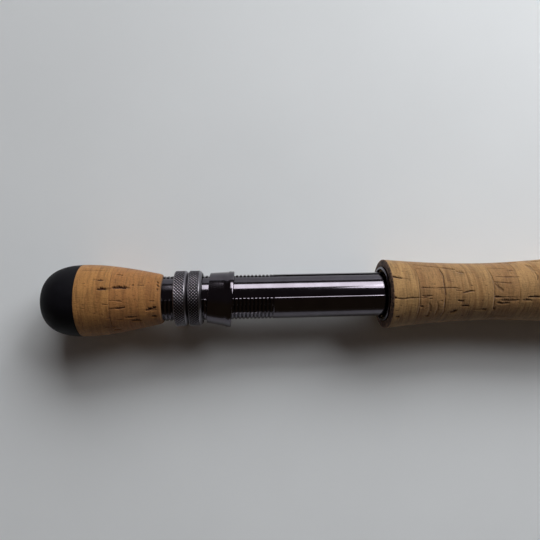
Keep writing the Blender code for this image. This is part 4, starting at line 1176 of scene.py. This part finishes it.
def make_winding_check():
    places, radii = outline("winding_check")
    start, end = places[0], places[-1]
    rear, front = radii[0], radii[-1]
    outside = [(start, rear - 0.15), (start + 0.12, rear), (start + 0.5, rear)]
    outside += [(start + (end - start) * share, rear + (front - rear) * share**0.6)
                for share in (0.35, 0.5, 0.65, 0.8, 0.92)]
    outside += [(end, front - 0.2)]
    bore = [(x, blank_radius(x) + CHECK_CLEAR) for x in (start, end)]
    ring_for("winding_check", "turned", outside, bore, 96, GUNMETAL, sharp=40)


make_hook_keeper()
make_winding_check()

# %% [markdown]
# The tip top is a tube that is glued over the blank's end, with a wire loop for the line.

# %% Tip top
TIP_LOOP = 4.2
TIP_WIRE = 0.5
TIP_LEAN = math.radians(65)
TIP_TUBE = 11.0
TIP_WRAP = 7.0


def make_tip_top():
    start = span_of("tip_top")[0]
    x, y, z = points_of("tip_top").T
    outer = np.hypot(y, z)[x < start + 0.01].max()
    bore = blank_radius(start) + 0.02
    end = TIP_TUBE + 0.4
    loop = np.array([(TIP_TUBE, 0), (TIP_TUBE, bore), (0, bore), (0, outer - 0.08), (0.1, outer),
                     (end - 0.3, outer), (end - 0.1, outer - 0.08), (end, outer - 0.3), (end, 0)])
    points = turned_points(start + loop[:, :1], loop[:, 1:], round_angles(48))
    tube = closed_piece("tube", points, poles=True)
    turn = np.linspace(0, math.tau, 40, endpoint=False)
    along = TIP_LOOP * (1 - np.cos(turn))
    path = np.stack([end + along * math.cos(TIP_LEAN), TIP_LOOP * np.sin(turn),
                     outer - TIP_WIRE / 2 + along * math.sin(TIP_LEAN)], axis=-1)
    eye = bent_wire("eye", start, path, TIP_WIRE, closed=True)
    stand_for(joined("tip_top_bent", [tube, eye]), "tip_top", STEEL)
    wrap = foot_wrap("tip_top_wrap", start - TIP_WRAP, start + 0.2, (0.0, 0.0))
    put_on(wrap, body_of["tip_top"], THREAD)


make_tip_top()

# %% [markdown]
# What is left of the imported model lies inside: the stem, the arbors and the rings' inserts.
# They keep their shapes and get the finish of their kind.

# %% Finish the pieces inside
for node in nodes.values():
    for material_slot in node.material_slots:
        material_slot.material = FINISH_OF_SLOT[material_slot.material.name.split(".")[0]]

# %% [markdown]
# The table is a pale matt sheet. The rod rests on the swell of its grip and on its tip,
# so the table is tilted a third of a degree to the rod's axis.

# %% Table
GRIP_SWELL = 238.0
TABLE_SLOPE = 0.0054
TABLE_HALF = 4.5  # metres
TABLE_TOP = clouded_finish("table_top", 60, ((0.830, 0.866, 0.893), (0.854, 0.891, 0.919)),
                           0.5, 0.02, detail=3.0, Roughness=0.7, Specular_IOR_Level=0.2)


def make_table():
    corners = [(x * TABLE_HALF, y * TABLE_HALF, 0) for x, y in ((-1, -1), (1, -1), (1, 1), (-1, 1))]
    mesh = bpy.data.meshes.new("table")
    mesh.from_pydata(corners, [], [(0, 1, 2, 3)])
    mesh.materials.append(TABLE_TOP)
    table = linked("table", mesh)
    table.location = (GRIP_SWELL * MM, 0, -flowing(grip_outline, GRIP_SWELL) * MM)
    table.rotation_euler = (0, -math.atan(TABLE_SLOPE), 0)


make_table()

# %% [markdown]
# The light is daylight from one wide window beyond the rod, in a dim room. The window is
# drawn in the world, as far away as the room, so that it lights all of the long rod alike.
# The barrel mirrors it as one narrow bright band, with the dark room on both sides of it.
# The walls on the near side, behind the one who looks, are warmer: they colour the shadow.

# %% Dim room with a window
WINDOW_TILT = (0.27, 0.85)  # its low and high edge, as height over distance
WINDOW_SPAN = (-0.12, 0.84)  # its near and far end along the rod, over distance
WINDOW_LIGHT = 6.2
WINDOW_BLUR = 0.02
WINDOW_REACH = 2.0  # a height or a width over distance runs from minus this to this


def between(tree, value, span):
    """1 inside a span and 0 outside it."""
    share = maths(tree, "MULTIPLY_ADD", value, 0.5 / WINDOW_REACH, 0.5)
    low, high = (0.5 + edge / WINDOW_REACH / 2 for edge in span)
    blur = WINDOW_BLUR / WINDOW_REACH
    stops = [(low - blur, 0.0), (low + blur, 1.0), (high - blur, 1.0), (high + blur, 0.0)]
    return ramp(tree, share, stops)


def make_room():
    world = bpy.data.worlds.new("room")
    bpy.context.scene.world = world
    world.use_nodes = True
    tree = world.node_tree
    background = tree.nodes["Background"]
    direction = add(tree, "TexCoord").outputs["Generated"]
    axes = add(tree, "SeparateXYZ", {"Vector": direction}).outputs
    far = ramp(tree, axes["Z"], [(0.0, (0.12, 0.118, 0.12)), (0.10, (0.085, 0.082, 0.085)),
                                 (0.22, (0.042, 0.034, 0.034)), (1.0, (0.038, 0.031, 0.033))])
    near = ramp(tree, axes["Z"], [(0.0, (0.10, 0.092, 0.084)), (0.10, (0.072, 0.062, 0.050)),
                                  (0.22, (0.042, 0.031, 0.019)), (1.0, (0.040, 0.029, 0.019))])
    side = maths(tree, "MULTIPLY_ADD", axes["Y"], 0.5, 0.5)
    walls = mixed(tree, ramp(tree, side, [(0.32, 1.0), (0.52, 0.0)]), far, near)
    beyond = maths(tree, "MAXIMUM", axes["Y"], 0.05)
    tilt = between(tree, maths(tree, "DIVIDE", axes["Z"], beyond), WINDOW_TILT)
    span = between(tree, maths(tree, "DIVIDE", axes["X"], beyond), WINDOW_SPAN)
    pane = maths(tree, "MULTIPLY", maths(tree, "MULTIPLY", tilt, span), WINDOW_LIGHT)
    window = add(tree, "CombineColor", {"Red": pane, "Green": pane, "Blue": pane}).outputs["Color"]
    tree.links.new(mixed(tree, 1.0, walls, window, "ADD"), background.inputs["Color"])
    background.inputs["Strength"].default_value = 1.0


make_room()

# %% [markdown]
# A sun would light the table evenly, but the photograph's table is brighter at its far right,
# nearer the light. One soft lamp there adds that, and deepens the shadow of the rod.

# %% Soft lamp beyond the right end
LAMP_PLACE = Vector((0.43, 0.38, 0.34))  # metres
LAMP_SIZE = (0.30, 0.34)
LAMP_POWER = 2.05
SEAT_MIDDLE = Vector((0.09, 0, 0))


def make_lamp():
    light = bpy.data.lights.new("soft_lamp", "AREA")
    light.shape = "RECTANGLE"
    light.size, light.size_y = LAMP_SIZE
    light.energy = LAMP_POWER
    lamp = linked("soft_lamp", light)
    lamp.location = LAMP_PLACE
    lamp.rotation_euler = (LAMP_PLACE - SEAT_MIDDLE).to_track_quat("Z", "Y").to_euler()
    lamp.visible_camera = False


make_lamp()

# %% [markdown]
# The camera looks almost straight down from about 20 cm above the rod.

# %% Camera
CAMERA_PLACE = (0.0806, 0.0112, 0.1994)  # metres
CAMERA_LOOK = (0.0652, 0.0, -0.9979)
CAMERA_ROLL = math.radians(-1.1)
CAMERA_LENS = 31.28


def make_camera():
    data = bpy.data.cameras.new("camera")
    data.lens = CAMERA_LENS
    data.sensor_width = 36
    data.clip_start = 0.01
    camera = linked("camera", data)
    back = -Vector(CAMERA_LOOK).normalized()
    right = Vector((0, 1, 0)).cross(back).normalized()
    turn = Matrix((right, back.cross(right), back)).transposed()
    turn = turn @ Matrix.Rotation(CAMERA_ROLL, 3, "Z")
    camera.matrix_world = Matrix.Translation(CAMERA_PLACE) @ turn.to_4x4()
    bpy.context.scene.camera = camera


make_camera()
bpy.context.scene.view_settings.view_transform = "Standard"
